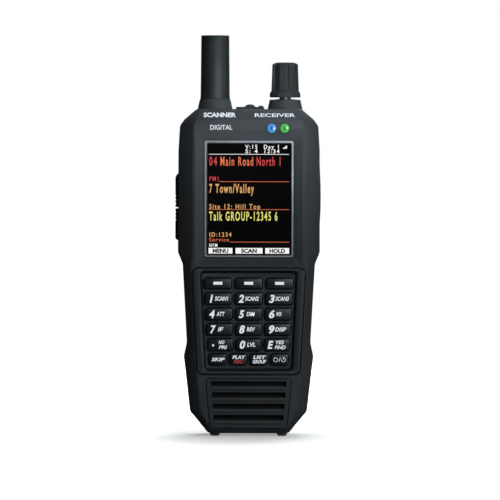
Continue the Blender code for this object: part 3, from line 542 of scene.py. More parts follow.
def spun(bm: Mesh, profile: Sequence[Pair], centre: Vector, axis: str, steps: int) -> None:
    """Spins (radius, height) points, in millimetres, about an axis through a point in metres.

    Args:
        bm: The mesh that gets the shape.
        profile: The outline from one end to the other.
        centre: The point at height 0.
        axis: "up" or "back", the way that height grows.
        steps: The number of steps round.
    """
    before = set(bm.verts)
    closed = [(0.0, profile[0][1]), *profile, (0.0, profile[-1][1])]
    verts = [bm.verts.new((radius * MM, 0.0, height * MM)) for radius, height in closed]
    edges = [bm.edges.new(pair) for pair in zip(verts, verts[1:])]
    bmesh.ops.spin(bm, geom=verts + edges, axis=(0, 0, 1), cent=(0, 0, 0), angle=math.tau, steps=steps,
                   use_merge=True)
    bmesh.ops.remove_doubles(bm, verts=[v for v in bm.verts if v not in before], dist=TOUCH)
    turn = Matrix.Rotation(-math.pi / 2, 4, "X") if axis == "back" else Matrix.Identity(4)
    made = [v for v in bm.verts if v not in before]
    bmesh.ops.transform(bm, matrix=Matrix.Translation(centre) @ turn, verts=made)
    bmesh.ops.recalc_face_normals(bm, faces=bm.faces)


def block(bm: Mesh, low: Vector, high: Vector) -> None:
    """Adds a block between two corners, in metres."""
    bmesh.ops.create_cube(bm, size=1.0, matrix=Matrix.LocRotScale((low + high) / 2, None, high - low))


def edges_along(bm: Mesh, axis: int) -> list[bmesh.types.BMEdge]:
    """Finds the straight edges that run along one axis.

    Args:
        bm: The mesh.
        axis: 0 for x, 1 for y, 2 for z.

    Returns:
        The edges.
    """
    found = []
    for edge in bm.edges:
        run = (edge.verts[1].co - edge.verts[0].co).normalized()
        if abs(run[axis]) > PARALLEL:
            found.append(edge)
    return found


def rounded(bm: Mesh, edges: Sequence[bmesh.types.BMEdge], width: float, segments: int) -> None:
    """Rounds edges in the mesh itself.

    Args:
        bm: The mesh.
        edges: The edges.
        width: The rounding in millimetres.
        segments: The rounding's segments.
    """
    bmesh.ops.bevel(bm, geom=edges, offset=width * MM, offset_type="OFFSET", segments=segments, profile=0.5,
                    affect="EDGES", material=-1, clamp_overlap=True)


def join(bm: Mesh, other: Mesh) -> None:
    """Adds another mesh's shape.

    Args:
        bm: The mesh that gets it.
        other: The mesh that it comes from, freed here.
    """
    scratch = bpy.data.meshes.new("scratch")
    other.to_mesh(scratch)
    other.free()
    bm.from_mesh(scratch)
    bpy.data.meshes.remove(scratch)


class Align(Enum):
    """Where a legend's given x lies on it."""

    LEFT = "LEFT"
    MIDDLE = "CENTER"


@dataclass(frozen=True)
class Legend:
    """One line of lettering, laid on a surface that faces the front."""

    text: str
    x: float
    z: float
    height: float
    width: float
    align: Align = Align.LEFT
    slant: float = 0.0
    weight: float = 0.0
    spacing: float = 1.0

    def add_to(self, bm: Mesh, y: float, lean: float = 0.0, thick: float = LETTER_DEPTH) -> None:
        """Adds the letters as thin solids.

        Args:
            bm: The mesh that gets them.
            y: Where their back lies, in metres.
            lean: How far the surface leans back, in radians.
            thick: The film's thickness in millimetres.
        """
        curve = bpy.data.curves.new("legend", "FONT")
        curve.body = self.text
        curve.align_x = self.align.value
        curve.shear = self.slant
        curve.offset = self.weight
        curve.space_character = self.spacing
        curve.extrude = LETTER_DEPTH / 2
        curve.resolution_u = 3
        holder = bpy.data.objects.new("legend", curve)
        mesh = bpy.data.meshes.new_from_object(holder)
        bpy.data.objects.remove(holder)
        bpy.data.curves.remove(curve)
        points = [v.co for v in mesh.vertices]
        span = max(p.x for p in points) - min(p.x for p in points)
        tall = self.height / CAPITAL
        wide = self.width / span
        shape = Matrix.Diagonal((wide * MM, tall * MM, thick * MM / LETTER_DEPTH, 1.0))
        turn = Matrix.Rotation(math.pi / 2 - lean, 4, "X")
        matrix = Matrix.Translation((self.x * MM, y, self.z * MM)) @ turn @ shape
        mesh.transform(matrix)
        bm.from_mesh(mesh)
        bpy.data.meshes.remove(mesh)


# ---- case
@dataclass
class Case:
    """The two shells, the bezel round the keys, and the covers."""

    rounding: float = 0.22
    rubber_rounding: float = 0.2
    deck: float = 145.2
    clear: float = 0.03
    plate: float = 1.0
    plate_corner: float = 1.6
    plate_rim: float = 0.45
    dome: Pair = (2.4, 1.2)
    dome_x: float = 0.4
    dome_angles: tuple[float, ...] = (0.0, 0.3, 0.6, 0.9, 1.2, 1.45)
    sink: float = 0.2
    tab_from_end: Pair = (2.6, 0.4)
    tab_half: float = 1.5
    tab_rise: float = 0.55
    tab_rounding: float = 0.25

    def build(self) -> None:
        """Builds and dresses the shells and covers."""
        for node, finish, slot in (
            ("front_housing", Finish.CASE, "case_plastic"), ("rear_housing", Finish.CASE, "case_plastic"),
            ("keypad_bezel", Finish.BEZEL, "case_plastic"), ("battery_cover", Finish.CASE, "case_plastic"),
        ):
            softened(node, node + "_shell", finish, self.rounding, 3)
        for node in ("side_key_upper", "side_key_lower", "port_cover"):
            softened(node, node + "_rubber", Finish.RUBBER, self.rubber_rounding, 3)
        self._jack_cover()

    def _jack_cover(self) -> None:
        """Builds the earphone cover: a thin plate on the deck, a low dome and a finger tab."""
        low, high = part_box("jack_cover")
        middle = (low.y + high.y) / 2
        deck = max(low.z, self.deck * MM) + self.clear * MM
        plate = deck + self.plate * MM
        bm = bmesh.new()
        block(bm, Vector((low.x, low.y, deck)), Vector((high.x, high.y, plate)))
        rounded(bm, edges_along(bm, 2), self.plate_corner, 6)
        rounded(bm, [e for e in bm.edges if all(v.co.z > plate - TOUCH for v in e.verts)], self.plate_rim, 4)
        radius, rise = self.dome
        dome = [(radius * math.cos(a), -self.sink + (rise + self.sink) * math.sin(a)) for a in self.dome_angles]
        spun(bm, dome, Vector((self.dome_x * MM, middle, plate)), "up", 40)
        tab = bmesh.new()
        inner, outer = self.tab_from_end
        block(tab, Vector((high.x - inner * MM, middle - self.tab_half * MM, plate - self.sink * MM)),
              Vector((high.x - outer * MM, middle + self.tab_half * MM, plate + self.tab_rise * MM)))
        rounded(tab, tab.edges[:], self.tab_rounding, 3)
        join(bm, tab)
        add_piece("jack_cover_rubber", bm, Finish.RUBBER, body_of("jack_cover"),
                  ("jack_cover",))


@dataclass
class Marks:
    """The plain words printed on the forehead of the case."""

    upper: tuple[Legend, ...] = (
        Legend("SCANNER", -20.2, 141.65, 2.2, 14.4, weight=0.045),
        Legend("RECEIVER", 2.2, 141.75, 1.8, 18.0, weight=0.02),
    )
    lower: tuple[Legend, ...] = (Legend("DIGITAL", -17.4, 136.0, 2.1, 9.8, weight=0.012),)
    ridge: float = 140.6
    top: float = 145.2
    ridge_roll: float = 0.3
    top_roll: float = 3.2
    lift: float = 0.03

    def build(self) -> None:
        """Prints the words on the leaning top facet and on the flat below it."""
        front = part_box("front_housing")[0].y
        slope = (self.top_roll - self.ridge_roll) / (self.top - self.ridge)
        bm = bmesh.new()
        for legend in self.upper:
            roll = self.ridge_roll + slope * (legend.z - self.ridge)
            legend.add_to(bm, front + (roll - self.lift) * MM, math.atan(slope))
        for legend in self.lower:
            legend.add_to(bm, front - self.lift * MM)
        add_piece("forehead_print", bm, Finish.WHITE, "case")


# ---- display
@dataclass(frozen=True)
class Line:
    """A thin rule across the display."""

    left: float
    right: float
    z: float
    finish: Finish
    thick: float = 0.22


@dataclass
class Display:
    """The lit panel, its text, its silver frame and its glass."""

    lit: float = 0.06
    gap: float = 0.02
    border: float = 0.5
    border_step: float = 0.15
    panel_rounding: float = 0.08
    frame_rounding: float = 0.12
    glass_rounding: float = 0.15
    rows: tuple[tuple[Finish, tuple[Row, ...]], ...] = (
        (Finish.LIT_WHITE, (("V:15", -1.7, 127.6, 1.75, 5.4), ("Day 1", 6.4, 127.6, 1.75, 6.6),
            ("S: 4", -1.7, 125.6, 1.75, 5.4), ("12:34", 6.4, 125.6, 1.75, 6.6), ("NFM", -17.7, 83.95, 1.5, 3.6))),
        (Finish.LIT_RED, (("04", -17.7, 120.1, 3.9, 3.4), ("North 1", 3.2, 120.1, 3.9, 10.6),
            ("FM1", -17.7, 113.2, 2.1, 4.0))),
        (Finish.LIT_ORANGE, (("Main Road", -12.9, 120.1, 3.9, 14.6), ("Service", -17.7, 86.35, 1.7, 8.8))),
        (Finish.LIT_AMBER, (("7 Town/Valley", -17.7, 108.0, 3.9, 19.8),
            ("Site 12: Hill Top", -17.7, 100.9, 2.1, 22.6), ("ID:1234", -17.7, 88.5, 1.9, 9.8))),
        (Finish.LIT_YELLOW, (("Talk GROUP-12345 6", -17.7, 95.7, 3.9, 30.4),)),
    )
    row_spacing: float = 1.3
    row_weights: Pair = (0.012, 0.02)
    bold_over: float = 3.0
    rules: tuple[Line, ...] = (
        Line(-17.8, 17.7, 125.1, Finish.LIT_WHITE), Line(-13.2, 17.9, 112.95, Finish.LIT_ORANGE),
        Line(-17.8, 17.9, 100.55, Finish.LIT_ORANGE), Line(-8.4, 17.9, 86.1, Finish.LIT_ORANGE),
    )
    labels: tuple[tuple[float, float, str], ...] = (
        (-17.9, -7.3, "MENU"), (-5.9, 6.1, "SCAN"), (7.3, 17.9, "HOLD"),
    )
    label_low: float = 81.0
    label_high: float = 83.5
    word_rise: float = 0.4
    word_height: float = 1.7
    word_width: float = 7.0
    word_gap: float = 0.005
    bars: int = 4
    bar_x: Pair = (15.0, 15.36)
    bar_z: Pair = (127.6, 127.95)
    bar_step: Pair = (0.48, 0.36)
    face: float = field(default=0.0, init=False)

    def build(self) -> None:
        """Builds the panel and everything on it and over it."""
        lcd_low, lcd_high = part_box("lcd_module")
        bm = bmesh.new()
        block(bm, lcd_low, lcd_high)
        rim = [v for v in bm.verts if v.co.y < lcd_low.y + TOUCH]
        front = [f for f in bm.faces if all(v in rim for v in f.verts)]
        bmesh.ops.inset_region(bm, faces=front, thickness=self.border * MM, depth=0.0)
        bmesh.ops.translate(bm, verts=rim, vec=(0.0, self.border_step * MM, 0.0))
        panel = add_piece("lcd_panel", bm, Finish.PANEL, "case", ("lcd_module",))
        round_edges(panel, self.panel_rounding)
        self.face = lcd_low.y - self.gap * MM
        self._write()
        self._boxes()
        softened("display_frame", "display_frame_film", Finish.TRIM,
                 self.frame_rounding)
        softened("display_lens", "display_window", Finish.LENS, self.glass_rounding)

    def _slab(self, bm: Mesh, low: Pair, high: Pair) -> None:
        """Adds a lit slab on the panel's face.

        Args:
            bm: The mesh that gets it.
            low: Its left and bottom, in millimetres.
            high: Its right and top, in millimetres.
        """
        near, far = Vector((low[0], 0.0, low[1])) * MM, Vector((high[0], 0.0, high[1])) * MM
        near.y, far.y = self.face - self.lit * MM, self.face
        block(bm, near, far)

    def _write(self) -> None:
        """Writes the rows and rules, one piece for each colour."""
        by_finish: dict[Finish, Mesh] = {}
        for finish, rows in self.rows:
            by_finish[finish] = bmesh.new()
            for text, x, z, height, width in rows:
                weight = self.row_weights[height > self.bold_over]
                legend = Legend(text, x, z, height, width, weight=weight, spacing=self.row_spacing)
                legend.add_to(by_finish[finish], self.face, 0.0, self.lit)
        for rule in self.rules:
            half = rule.thick / 2
            self._slab(by_finish[rule.finish], (rule.left, rule.z - half), (rule.right, rule.z + half))
        over, up = self.bar_step
        for step in range(self.bars):
            self._slab(by_finish[Finish.LIT_WHITE], (self.bar_x[0] + over * step, self.bar_z[0]),
                       (self.bar_x[1] + over * step, self.bar_z[1] + up * step))
        for finish, bm in by_finish.items():
            add_piece("screen_" + finish.value.name, bm, finish, "case")

    def _boxes(self) -> None:
        """Builds the white labels of the three wide keys, with dark words."""
        lit, words = bmesh.new(), bmesh.new()
        for left, right, text in self.labels:
            self._slab(lit, (left, self.label_low), (right, self.label_high))
            legend = Legend(text, (left + right) / 2, self.label_low + self.word_rise, self.word_height,
                            self.word_width, Align.MIDDLE, weight=0.05)
            legend.add_to(words, self.face - (self.lit + self.word_gap) * MM)
        add_piece("soft_labels", lit, Finish.LIT_WHITE, "case")
        add_piece("soft_words", words, Finish.LIT_OFF, "case")


# ---- keypad
@dataclass(frozen=True)
class KeyFace:
    """What is printed on one key: a large mark on the left and small words beside or over it."""

    node: str
    large: str = ""
    small: tuple[str, ...] = ()
    red: bool = False


@dataclass(frozen=True)
class WordStyle:
    """How a key's small words are set: one alone, or two under each other."""

    rise: float
    height: float
    pair_rises: Pair
    pair_height: float
    letter: float
    extra: float
    widest: float

    def rows(self, words: tuple[str, ...]) -> list[tuple[str, float, float, float]]:
        """Lays the words out.

        Args:
            words: One or two words.

        Returns:
            Each word with its rise over the key's middle, its height and its width.
        """
        alone = len(words) == 1
        rises = (self.rise,) if alone else self.pair_rises
        height = self.height if alone else self.pair_height
        return [(word, rise, height, min(self.letter * len(word) + self.extra, self.widest))
                for word, rise in zip(words, rises)]


@dataclass
class Keypad:
    """The keys with rounded shoulders and printed legends."""

    corner: float = 1.3
    shoulder: float = 0.5
    flange: float = 0.35
    flange_depth: float = 0.6
    film: float = LETTER_DEPTH
    film_gap: float = 0.002
    bar: tuple[float, float, float] = (2.0, 0.55, 0.75)
    slant: float = 0.22
    number_place: Pair = (1.5, 1.6)
    number_height: float = 3.3
    number_widths: Pair = (1.5, 2.5)
    dot: tuple[float, float, float] = (1.0, 0.3, 0.5)
    word_start: tuple[float, float, float] = (4.3, 4.9, 0.25)
    beside: WordStyle = WordStyle(-0.80, 1.75, (0.35, -1.85), 1.5, 1.18, 0.2, 6.0)
    centred: WordStyle = WordStyle(-0.75, 1.45, (0.25, -1.7), 1.45, 1.45, 0.0, 5.9)
    word_weight: float = 0.03
    rings_apart: float = 1.7
    ring: Pair = (0.8, 0.2)
    ring_gap: float = 0.9
    faces: tuple[KeyFace, ...] = (
        *(KeyFace(f"key_soft_{side}") for side in ("left", "middle", "right")),
        *(KeyFace(f"key_{digit}", digit, (word,)) for digit, word in zip(
            "123456789", ("SCAN1", "SCAN2", "SCAN3", "ATT", "DIM", "WX", "IF", "REV", "DISP"))),
        KeyFace("key_point", ".", ("NO", "PRI")), KeyFace("key_0", "0", ("LVL",)),
        KeyFace("key_enter", "E", ("YES", "FIND")), KeyFace("key_skip", "", ("SKIP",)),
        KeyFace("key_replay", "", ("PLAY", "REC"), True), KeyFace("key_list", "", ("LIST", "GROUP")),
        KeyFace("key_power"),
    )

    def build(self) -> None:
        """Builds every key and its print."""
        for face in self.faces:
            self._cap(face.node)
            self._print(face)

    def _cap(self, node: str) -> None:
        """Builds one key: the flange, the straight sides and a rounded crown.

        Args:
            node: The key's CAD node.
        """
        low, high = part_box(node)
        flange = self.flange * MM
        bm = bmesh.new()
        inner_high = Vector((high.x - flange, high.y - self.flange_depth * MM, high.z - flange))
        block(bm, low + Vector((flange, 0, flange)), inner_high)
        rounded(bm, edges_along(bm, 1), self.corner, 6)
        rounded(bm, [e for e in bm.edges if all(v.co.y < low.y + TOUCH for v in e.verts)], self.shoulder, 4)
        foot = bmesh.new()
        block(foot, Vector((low.x, inner_high.y, low.z)), high)
        rounded(foot, edges_along(foot, 1), self.corner, 4)
        join(bm, foot)
        add_piece(node + "_cap", bm, Finish.KEY, body_of(node), (node,))

    def _print(self, face: KeyFace) -> None:
        """Prints one key's legends on its crown.

        Args:
            face: What the key shows.
        """
        low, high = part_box(face.node)
        x, z = (low.x + high.x) / 2 / MM, (low.z + high.z) / 2 / MM
        half = (high.x - low.x) / 2 / MM - self.flange
        y = low.y - self.film_gap * MM
        white, red = bmesh.new(), bmesh.new()
        if face.node.startswith("key_soft"):
            reach, under, over = self.bar
            block(white, Vector(((x - reach) * MM, y - self.film * MM, (z - under) * MM)),
                  Vector(((x + reach) * MM, y, (z + over) * MM)))
        elif face.node == "key_power":
            self._symbols(white, x, y, z)
        elif face.large:
            self._numbered(white, face, x - half, y, z)
        else:
            for word, rise, height, wide in self.centred.rows(face.small):
                target = red if face.red and word == face.small[-1] else white
                Legend(word, x, z + rise, height, wide, Align.MIDDLE, self.slant,
                       self.word_weight).add_to(target, y)
        body = body_of(face.node)
        if white.verts:
            # the keys' white print carries the strongest painted glow
            add_piece(face.node + "_print", white, Finish.GLOWING_KEY_PRINT, body)
        if red.verts:
            add_piece(face.node + "_red_print", red, Finish.RED, body)

    def _numbered(self, bm: Mesh, face: KeyFace, edge: float, y: float, z: float) -> None:
        """Prints a large mark on the left and its words on the right.

        Args:
            bm: The mesh that gets the print.
            face: What the key shows.
            edge: The crown's left edge, in millimetres.
            y: Where the print's back lies, in metres.
            z: The key's middle, in millimetres.
        """
        left = edge + self.number_place[0]
        if face.large == ".":
            over, under, radius = self.dot
            spun(bm, ((radius, 0.0), (radius, self.film)),
                 Vector(((left + over) * MM, y - self.film * MM, (z - under) * MM)), "back", 20)
        else:
            narrow, broad = self.number_widths
            Legend(face.large, left, z - self.number_place[1], self.number_height,
                   narrow if face.large == "1" else broad, slant=self.slant, weight=0.035).add_to(bm, y)
        nearest, usual, per_letter = self.word_start
        for word, rise, height, wide in self.beside.rows(face.small):
            start = max(edge + nearest, edge + usual - per_letter * max(0, len(word) - 3))
            Legend(word, start, z + rise, height, wide, slant=self.slant, weight=self.word_weight).add_to(bm, y)

    def _symbols(self, bm: Mesh, x: float, y: float, z: float) -> None:
        """Draws the lamp and power symbols with a stroke between them.

        Args:
            bm: The mesh that gets them.
            x: The key's middle, in millimetres.
            y: Where their back lies, in metres.
            z: The key's middle, in millimetres.
        """
        for centre, start in ((x - self.rings_apart, 0.0), (x + self.rings_apart, self.ring_gap)):
            self._arc(bm, centre, y, z - 0.1, start)
        block(bm, Vector(((x + 1.6) * MM, y - self.film * MM, z * MM)),
              Vector(((x + 1.8) * MM, y, (z + 1.1) * MM)))
        Legend("/", x - 0.35, z - 1.0, 2.0, 0.8).add_to(bm, y)

    def _arc(self, bm: Mesh, x: float, y: float, z: float, gap: float) -> None:
        """Adds a ring with a gap at its top.

        Args:
            bm: The mesh that gets it.
            x: Its middle, in millimetres.
            y: Where its back lies, in metres.
            z: Its middle, in millimetres.
            gap: The gap in radians, or 0 for a whole ring.
        """
        before = set(bm.verts)
        radius, stroke = self.ring
        corners = [(radius, 0.0), (radius + stroke, 0.0), (radius + stroke, self.film), (radius, self.film)]
        verts = [bm.verts.new((r * MM, -h * MM, 0.0)) for r, h in corners]
        face = bm.faces.new(verts)
        bmesh.ops.spin(bm, geom=[face], axis=(0, 1, 0), cent=(0, 0, 0), angle=math.tau - gap,
                       steps=24, use_merge=gap == 0.0)
        made = [v for v in bm.verts if v not in before]
        turn = Matrix.Rotation(-(math.pi / 2 + gap / 2), 4, "Y")
        bmesh.ops.transform(bm, matrix=Matrix.Translation((x * MM, y, z * MM)) @ turn, verts=made)
        bmesh.ops.recalc_face_normals(bm, faces=bm.faces)


# ---- loudspeaker
@dataclass
class Grille:
    """The loudspeaker's tapering insert and its rounded, slightly sagging slats."""

    slats: int = 4
    pitch: float = 5.02
    slat: float = 2.85
    top: float = 22.2
    half_low: float = 15.3
    half_high: float = 16.9
    sag: float = 0.35
    lift: float = 0.45
    columns: int = 24
    rim_rounding: float = 0.3
    side_gap: float = 0.2
    edge_gap: float = 0.12
    proud: float = 0.05
    depth: float = 1.2
    slat_rounding: float = 0.7

    def build(self) -> None:
        """Builds the rim and the slats."""
        low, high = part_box("speaker_grille")
        softened("speaker_grille", "speaker_grille_rim", Finish.GRILLE,
                 self.rim_rounding, 3)
        for index in range(self.slats):
            self._slat(index, low, high)

    def _slat(self, index: int, low: Vector, high: Vector) -> None:
        """Builds the rounded front of one slat over the bar behind it.

        Args:
            index: 0 for the top slat.
            low: The insert's low corner, in metres.
            high: Its high corner, in metres.
        """
        z_top = self.top - self.pitch * index + self.lift
        z_low = z_top - self.slat
        share = (z_low - low.z / MM) / ((high.z - low.z) / MM)
        half = self.half_low + share * (self.half_high - self.half_low) - self.side_gap
        front = low.y / MM
        bm = bmesh.new()
        block(bm, Vector((-half, front - self.proud, z_low + self.edge_gap)) * MM,
              Vector((half, front + self.depth, z_top - self.edge_gap)) * MM)
        bmesh.ops.subdivide_edges(bm, edges=edges_along(bm, 0), cuts=self.columns, use_grid_fill=True)
        rounded(bm, [e for e in edges_along(bm, 0) if all(v.co.y < (front + 0.1) * MM for v in e.verts)],
                self.slat_rounding, 5)
        for vert in bm.verts:
            ratio = vert.co.x / (half * MM)
            vert.co.z -= self.sag * MM * (1 - ratio * ratio) * 0.5
        add_piece(f"grille_slat_{index + 1}", bm, Finish.GRILLE, "case")


# ---- top deck
@dataclass
class Antenna:
    """The rubber-sleeved stub with a softly rounded flat top, flared a little where it meets its collar."""

    steps: int = 96
    collar_top: float = 149.5
    clear: float = 0.03
    bore: Pair = (3.4, 9.0)
    flare: Pair = (0.2, 2.4)
    taper: float = 0.25
    fillet: float = 0.25

    def build(self) -> None:
        """Builds the sleeve in place of the plain one."""
        low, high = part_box("antenna")
        foot = self.collar_top + self.clear
        centre = Vector(((low.x + high.x) / 2, (low.y + high.y) / 2, foot * MM))
        tall = high.z / MM - foot
        radius = (high.x - low.x) / 2 / MM
        top, fillet = radius - self.taper, self.fillet
        flare, rise = self.flare
        bore, deep = self.bore
        profile = [(bore, deep), (bore, 0.0), (radius + flare, 0.0)]
        profile += [(radius + flare * (1 - share) ** 2, rise * share) for share in (0.25, 0.5, 0.75, 1.0)]
        profile += [(top - fillet + fillet * math.cos(a), tall - fillet + fillet * math.sin(a))
                    for a in (0.0, 0.4, 0.8, 1.2, math.pi / 2)]
        bm = bmesh.new()
        spun(bm, profile, centre, "up", self.steps)
        add_piece("antenna_sleeve", bm, Finish.SLEEVE, body_of("antenna"),
                  ("antenna",), 50.0)


@dataclass
class Knob:
    """The rotary knob: domed top, skirt and shallow flats pressed into its side."""

    steps: int = 192
    crown: float = 0.35
    bore: Pair = (2.95, 11.0)
    skirt: tuple[Pair, ...] = ((0.3, 0.0), (0.0, 0.3), (0.1, 1.7), (0.2, 1.95))
    body_inset: Pair = (0.42, 0.85)
    neck: Pair = (0.1, 2.2)
    waist: float = 2.4
    dome: float = 1.4
    squareness: float = 0.55
    pole: float = 0.4
    body_rings: int = 22
    dome_rings: int = 9
    flutes: int = 8
    flute_depth: float = 0.9
    flute_width: float = 0.78
    flute_edge: float = 0.13
    flute_foot: float = 2.6
    flute_run: float = 0.7
    flute_reach: float = 0.72

    def build(self) -> None:
        """Builds the cap in place of the plain one."""
        low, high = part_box("knob")
        centre = Vector(((low.x + high.x) / 2, (low.y + high.y) / 2, low.z))
        tall = (high.z - low.z) / MM + self.crown
        radius = (high.x - low.x) / 2 / MM
        body_low, body_high = (radius - inset for inset in self.body_inset)
        bore, deep = self.bore
        profile = [(bore, deep), (bore, 0.0), *((radius - inset, height) for inset, height in self.skirt),
                   (body_low + self.neck[0], self.neck[1]), (body_low, self.waist)]
        for ring in range(1, self.body_rings + 1):
            share = ring / self.body_rings
            profile.append((body_low + share * (body_high - body_low),
                            self.waist + share * (tall - self.waist - self.dome)))
        for ring in range(1, self.dome_rings + 1):
            angle = math.pi / 2 * ring / self.dome_rings
            across = body_high * math.cos(angle) ** self.squareness if ring < self.dome_rings else self.pole
            profile.append((across, tall - self.dome + self.dome * math.sin(angle)))
        bm = bmesh.new()
        spun(bm, profile, centre, "up", self.steps)
        self._press_flutes(bm, centre, body_high)
        bmesh.ops.recalc_face_normals(bm, faces=bm.faces)
        add_piece("knob_cap", bm, Finish.RUBBER, body_of("knob"), ("knob",), 45.0)

    def _press_flutes(self, bm: Mesh, centre: Vector, radius: float) -> None:
        """Moves the side in along each flute, with soft ends and edges.

        Args:
            bm: The knob's mesh.
            centre: The middle of its foot, in metres.
            radius: The radius of its side near the top, in millimetres.
        """
        for vert in bm.verts:
            out = Vector((vert.co.x - centre.x, vert.co.y - centre.y))
            height = (vert.co.z - centre.z) / MM
            if out.length < (radius * self.flute_reach) * MM or height < self.flute_foot:
                continue
            angle = math.atan2(out.y, out.x) + math.pi / 2
            phase = abs((angle * self.flutes / math.tau + 0.5) % 1.0 - 0.5) * 2
            across = min(1.0, max(0.0, (self.flute_width - phase) / self.flute_edge))
            along = min(1.0, max(0.0, (height - self.flute_foot) / self.flute_run))
            push = self.flute_depth * MM * across * across * (3 - 2 * across) * along
            vert.co.x -= out.x / out.length * push
            vert.co.y -= out.y / out.length * push


@dataclass
class Lamps:
    """The two indicators over the display."""

    pairs: tuple[tuple[str, str, str, Colour, Colour], ...] = (
        ("led_lens_alert", "alert_lamp", "lamp_blue", (0.12, 0.40, 0.82), (0.012, 0.13, 0.42)),
        ("led_lens_status", "status_lamp", "lamp_green", (0.14, 0.62, 0.14), (0.012, 0.26, 0.02)),
    )
    dome: float = 0.55
    dome_angles: tuple[float, ...] = (0.25, 0.6, 0.95, 1.25, math.pi / 2)
    stem: Pair = (1.0, 0.5)

    def build(self) -> None:
        """Builds each lens as a low dome."""
        for node, name, slot, rim, middle in self.pairs:
            low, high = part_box(node)
            x, z = (low.x + high.x) / 2, (low.z + high.z) / 2
            radius = (high.x - low.x) / 2 / MM
            tall = (high.y - low.y) / MM
            dome = [(radius * math.sin(a), self.dome - self.dome * math.cos(a)) for a in self.dome_angles]
            length, inset = self.stem
            bm = bmesh.new()
            spun(bm, [*dome, (radius, tall - length), (radius - inset, tall)], Vector((x, low.y, z)), "back", 48)
            lamp = Lamp(name, rim, middle, (x / MM, z / MM), radius)
            add_piece(name + "_lens", bm, lamp, "case", (node,), 50.0)


# ---- CAD pieces that keep their shape
@dataclass
class Hardware:
    """Fasteners, connectors and inner pieces, which keep their modelled shapes."""

    finishes: dict[str, Finish] = field(default_factory=lambda: {
        "antenna_jack": Finish.BRASS, "antenna_pin": Finish.BRASS, "encoder_body": Finish.BLACK_STEEL,
        "encoder_shaft": Finish.BLACK_STEEL, "encoder_plunger": Finish.DARK, "earphone_jack": Finish.DARK,
        "usb_socket": Finish.STEEL, "housing_gasket": Finish.RUBBER, "keypad_mat": Finish.DARK,
        "speaker_cloth": Finish.CLOTH, "speaker_driver": Finish.STEEL, "main_board": Finish.BOARD,
        "shield_frame": Finish.STEEL, "battery_pack": Finish.WRAP,
    })

    def build(self) -> None:
        """Gives every CAD node that still shows its finish."""
        replaced = {name for piece in bpy.data.objects for name in piece.get("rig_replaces", [])}
        for name, node in frame["nodes"].items():
            if name in replaced:
                continue
            finish = Finish.BLACK_STEEL if "screw" in name else self.finishes.get(name, Finish.DARK)
            node.data.materials.clear()
            node.data.materials.append(finish.material())


# ---- stage
@dataclass(frozen=True)
class Softbox:
    """A square area lamp, placed in metres, that faces a height in millimetres on the scanner's axis."""

    name: str
    place: tuple[float, float, float]
    size: float
    power: float
    aim: float = 82.0
    spread: float = 180.0


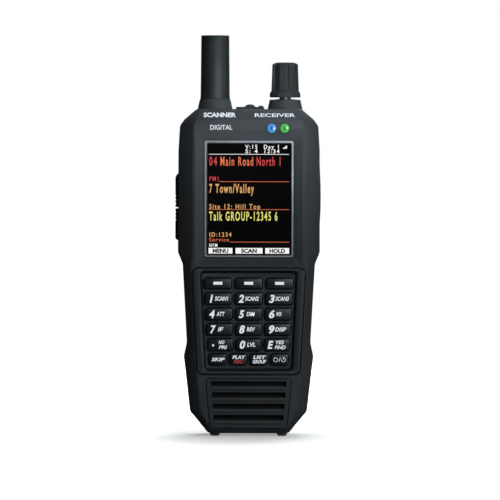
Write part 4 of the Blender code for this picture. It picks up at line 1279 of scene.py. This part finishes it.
@dataclass
class Studio:
    """A pale floor, soft lamps and the camera."""

    middle: tuple[float, float, float] = (0.52, 0.0, 82.4)
    view_width: float = 223.1
    lens: float = 500.0
    sensor: float = 36.0
    elevation: float = 0.8
    roll: float = 0.15
    room_light: float = 0.05
    room_tint: Colour = (0.92, 0.96, 1.0)
    floor_size: float = 12.0
    floor_colours: tuple[Colour, Colour] = ((0.93, 0.87, 0.84), (0.95, 0.89, 0.86))
    # painted shadow: the pool's near and far reach in metres, its squeeze along x, and the darkest glow in it
    painted_shadow_reach: Pair = (0.05, 0.24)
    painted_shadow_squeeze: float = 2.8
    painted_shadow_level: float = 0.34
    tint: Colour = (0.86, 0.95, 1.0)
    softboxes: tuple[Softbox, ...] = (
        Softbox("front_lamp", (0.30, -0.76, 0.22), 0.30, 2.3),
        Softbox("right_lamp", (0.80, -0.30, 0.46), 0.22, 1.35),
        Softbox("brow_lamp", (0.09, -0.25, 0.14), 0.05, 0.013, 148.0, 26.0),
        Softbox("top_lamp", (0.0, 0.35, 1.05), 0.60, 4.5),
        Softbox("back_lamp", (0.20, 0.95, 0.42), 0.45, 5.0),
    )

    def build(self) -> None:
        """Sets the floor, the room, the lamps and the camera."""
        self._floor()
        self._room()
        for softbox in self.softboxes:
            self._lamp(softbox)
        self._camera()

    def _floor(self) -> None:
        """Lays the floor, white far away, with a painted shadow: its glow darkens in a soft pool near the scanner,
        and it takes real shadow from the lamps as well.
        """
        bm = bmesh.new()
        bmesh.ops.create_grid(bm, x_segments=2, y_segments=2, size=self.floor_size)
        mesh = bpy.data.meshes.new("floor")
        bm.to_mesh(mesh)
        bm.free()
        graph = Graph("pale_floor")
        parts = graph.node("ShaderNodeSeparateXYZ", {}, {0: graph.place()}).outputs
        across, along = Value(graph, parts[0]) * self.painted_shadow_squeeze, Value(graph, parts[1])
        away = graph.node("ShaderNodeMath", {"operation": "SQRT"}, {0: across * across + along * along})
        near, far = self.painted_shadow_reach
        share = graph.node("ShaderNodeMapRange", {"interpolation_type": "SMOOTHSTEP"},
                           {"Value": away.outputs[0], "From Min": near, "From Max": far})
        mottle = graph.noise(3.0)
        # painted shadow: the floor's glow drops to this grey near the scanner
        painted_shadow_colour = (self.painted_shadow_level,) * 3
        graph.set(
            Base_Color=graph.blend(mottle, *self.floor_colours),
            Roughness=0.9,
            Emission_Color=graph.blend(Value(graph, share.outputs[0]), painted_shadow_colour, (1.0, 1.0, 1.0)),
            Emission_Strength=1.0,
        )
        mesh.materials.append(graph.material)
        floor = bpy.data.objects.new("floor", mesh)
        bpy.context.scene.collection.objects.link(floor)
        floor.visible_diffuse = False
        floor.visible_glossy = False

    def _room(self) -> None:
        """Makes the room white behind the scanner and dim as a light, so that dark plastic stays dark."""
        room = bpy.data.worlds.new("room")
        room.use_nodes = True
        nodes, links = room.node_tree.nodes, room.node_tree.links
        dim = nodes["Background"]
        dim.inputs[0].default_value = (*self.room_tint, 1.0)
        dim.inputs[1].default_value = self.room_light
        white = nodes.new("ShaderNodeBackground")
        white.inputs[0].default_value = (1.0, 1.0, 1.0, 1.0)
        path, mix = nodes.new("ShaderNodeLightPath"), nodes.new("ShaderNodeMixShader")
        links.new(path.outputs["Is Camera Ray"], mix.inputs[0])
        links.new(dim.outputs[0], mix.inputs[1])
        links.new(white.outputs[0], mix.inputs[2])
        links.new(mix.outputs[0], nodes["World Output"].inputs[0])
        bpy.context.scene.world = room
        bpy.context.scene.view_settings.view_transform = "Standard"

    def _lamp(self, softbox: Softbox) -> None:
        """Hangs one softbox, turned towards the scanner.

        Args:
            softbox: The softbox.
        """
        light = bpy.data.lights.new(softbox.name, "AREA")
        light.energy = softbox.power
        light.color = self.tint
        light.size = softbox.size
        lamp = bpy.data.objects.new(softbox.name, light)
        lamp.location = softbox.place
        light.spread = math.radians(softbox.spread)
        aim = Vector((0.0, 0.0, softbox.aim * MM)) - Vector(softbox.place)
        lamp.rotation_euler = aim.to_track_quat("-Z", "Y").to_euler()
        bpy.context.scene.collection.objects.link(lamp)

    def _camera(self) -> None:
        """Places the camera so that the view is view_width wide at the scanner."""
        data = bpy.data.cameras.new("camera")
        data.lens = self.lens
        data.sensor_width = self.sensor
        camera = bpy.data.objects.new("camera", data)
        distance = self.view_width * MM * self.lens / self.sensor
        tilt = math.radians(self.elevation)
        target = Vector(self.middle) * MM
        place = Matrix.Translation(target + distance * Vector((0.0, -math.cos(tilt), math.sin(tilt))))
        turn = Matrix.Rotation(math.pi / 2 - tilt, 4, "X") @ Matrix.Rotation(math.radians(self.roll), 4, "Z")
        camera.matrix_world = place @ turn
        bpy.context.scene.collection.objects.link(camera)
        bpy.context.scene.camera = camera


def write_sizes() -> None:
    """Updates the view layer."""
    bpy.context.view_layer.update()


def main() -> None:
    """Builds the scanner's pieces in order, then the studio."""
    logging.basicConfig(level=logging.INFO, format="%(name)s: %(message)s")
    for part in (Case(), Marks(), Display(), Keypad(), Grille(), Antenna(), Knob(), Lamps(), Hardware(), Studio()):
        part.build()
        LOG.info("%s done", type(part).__name__)
    write_sizes()


if __name__ == "__main__":
    main()
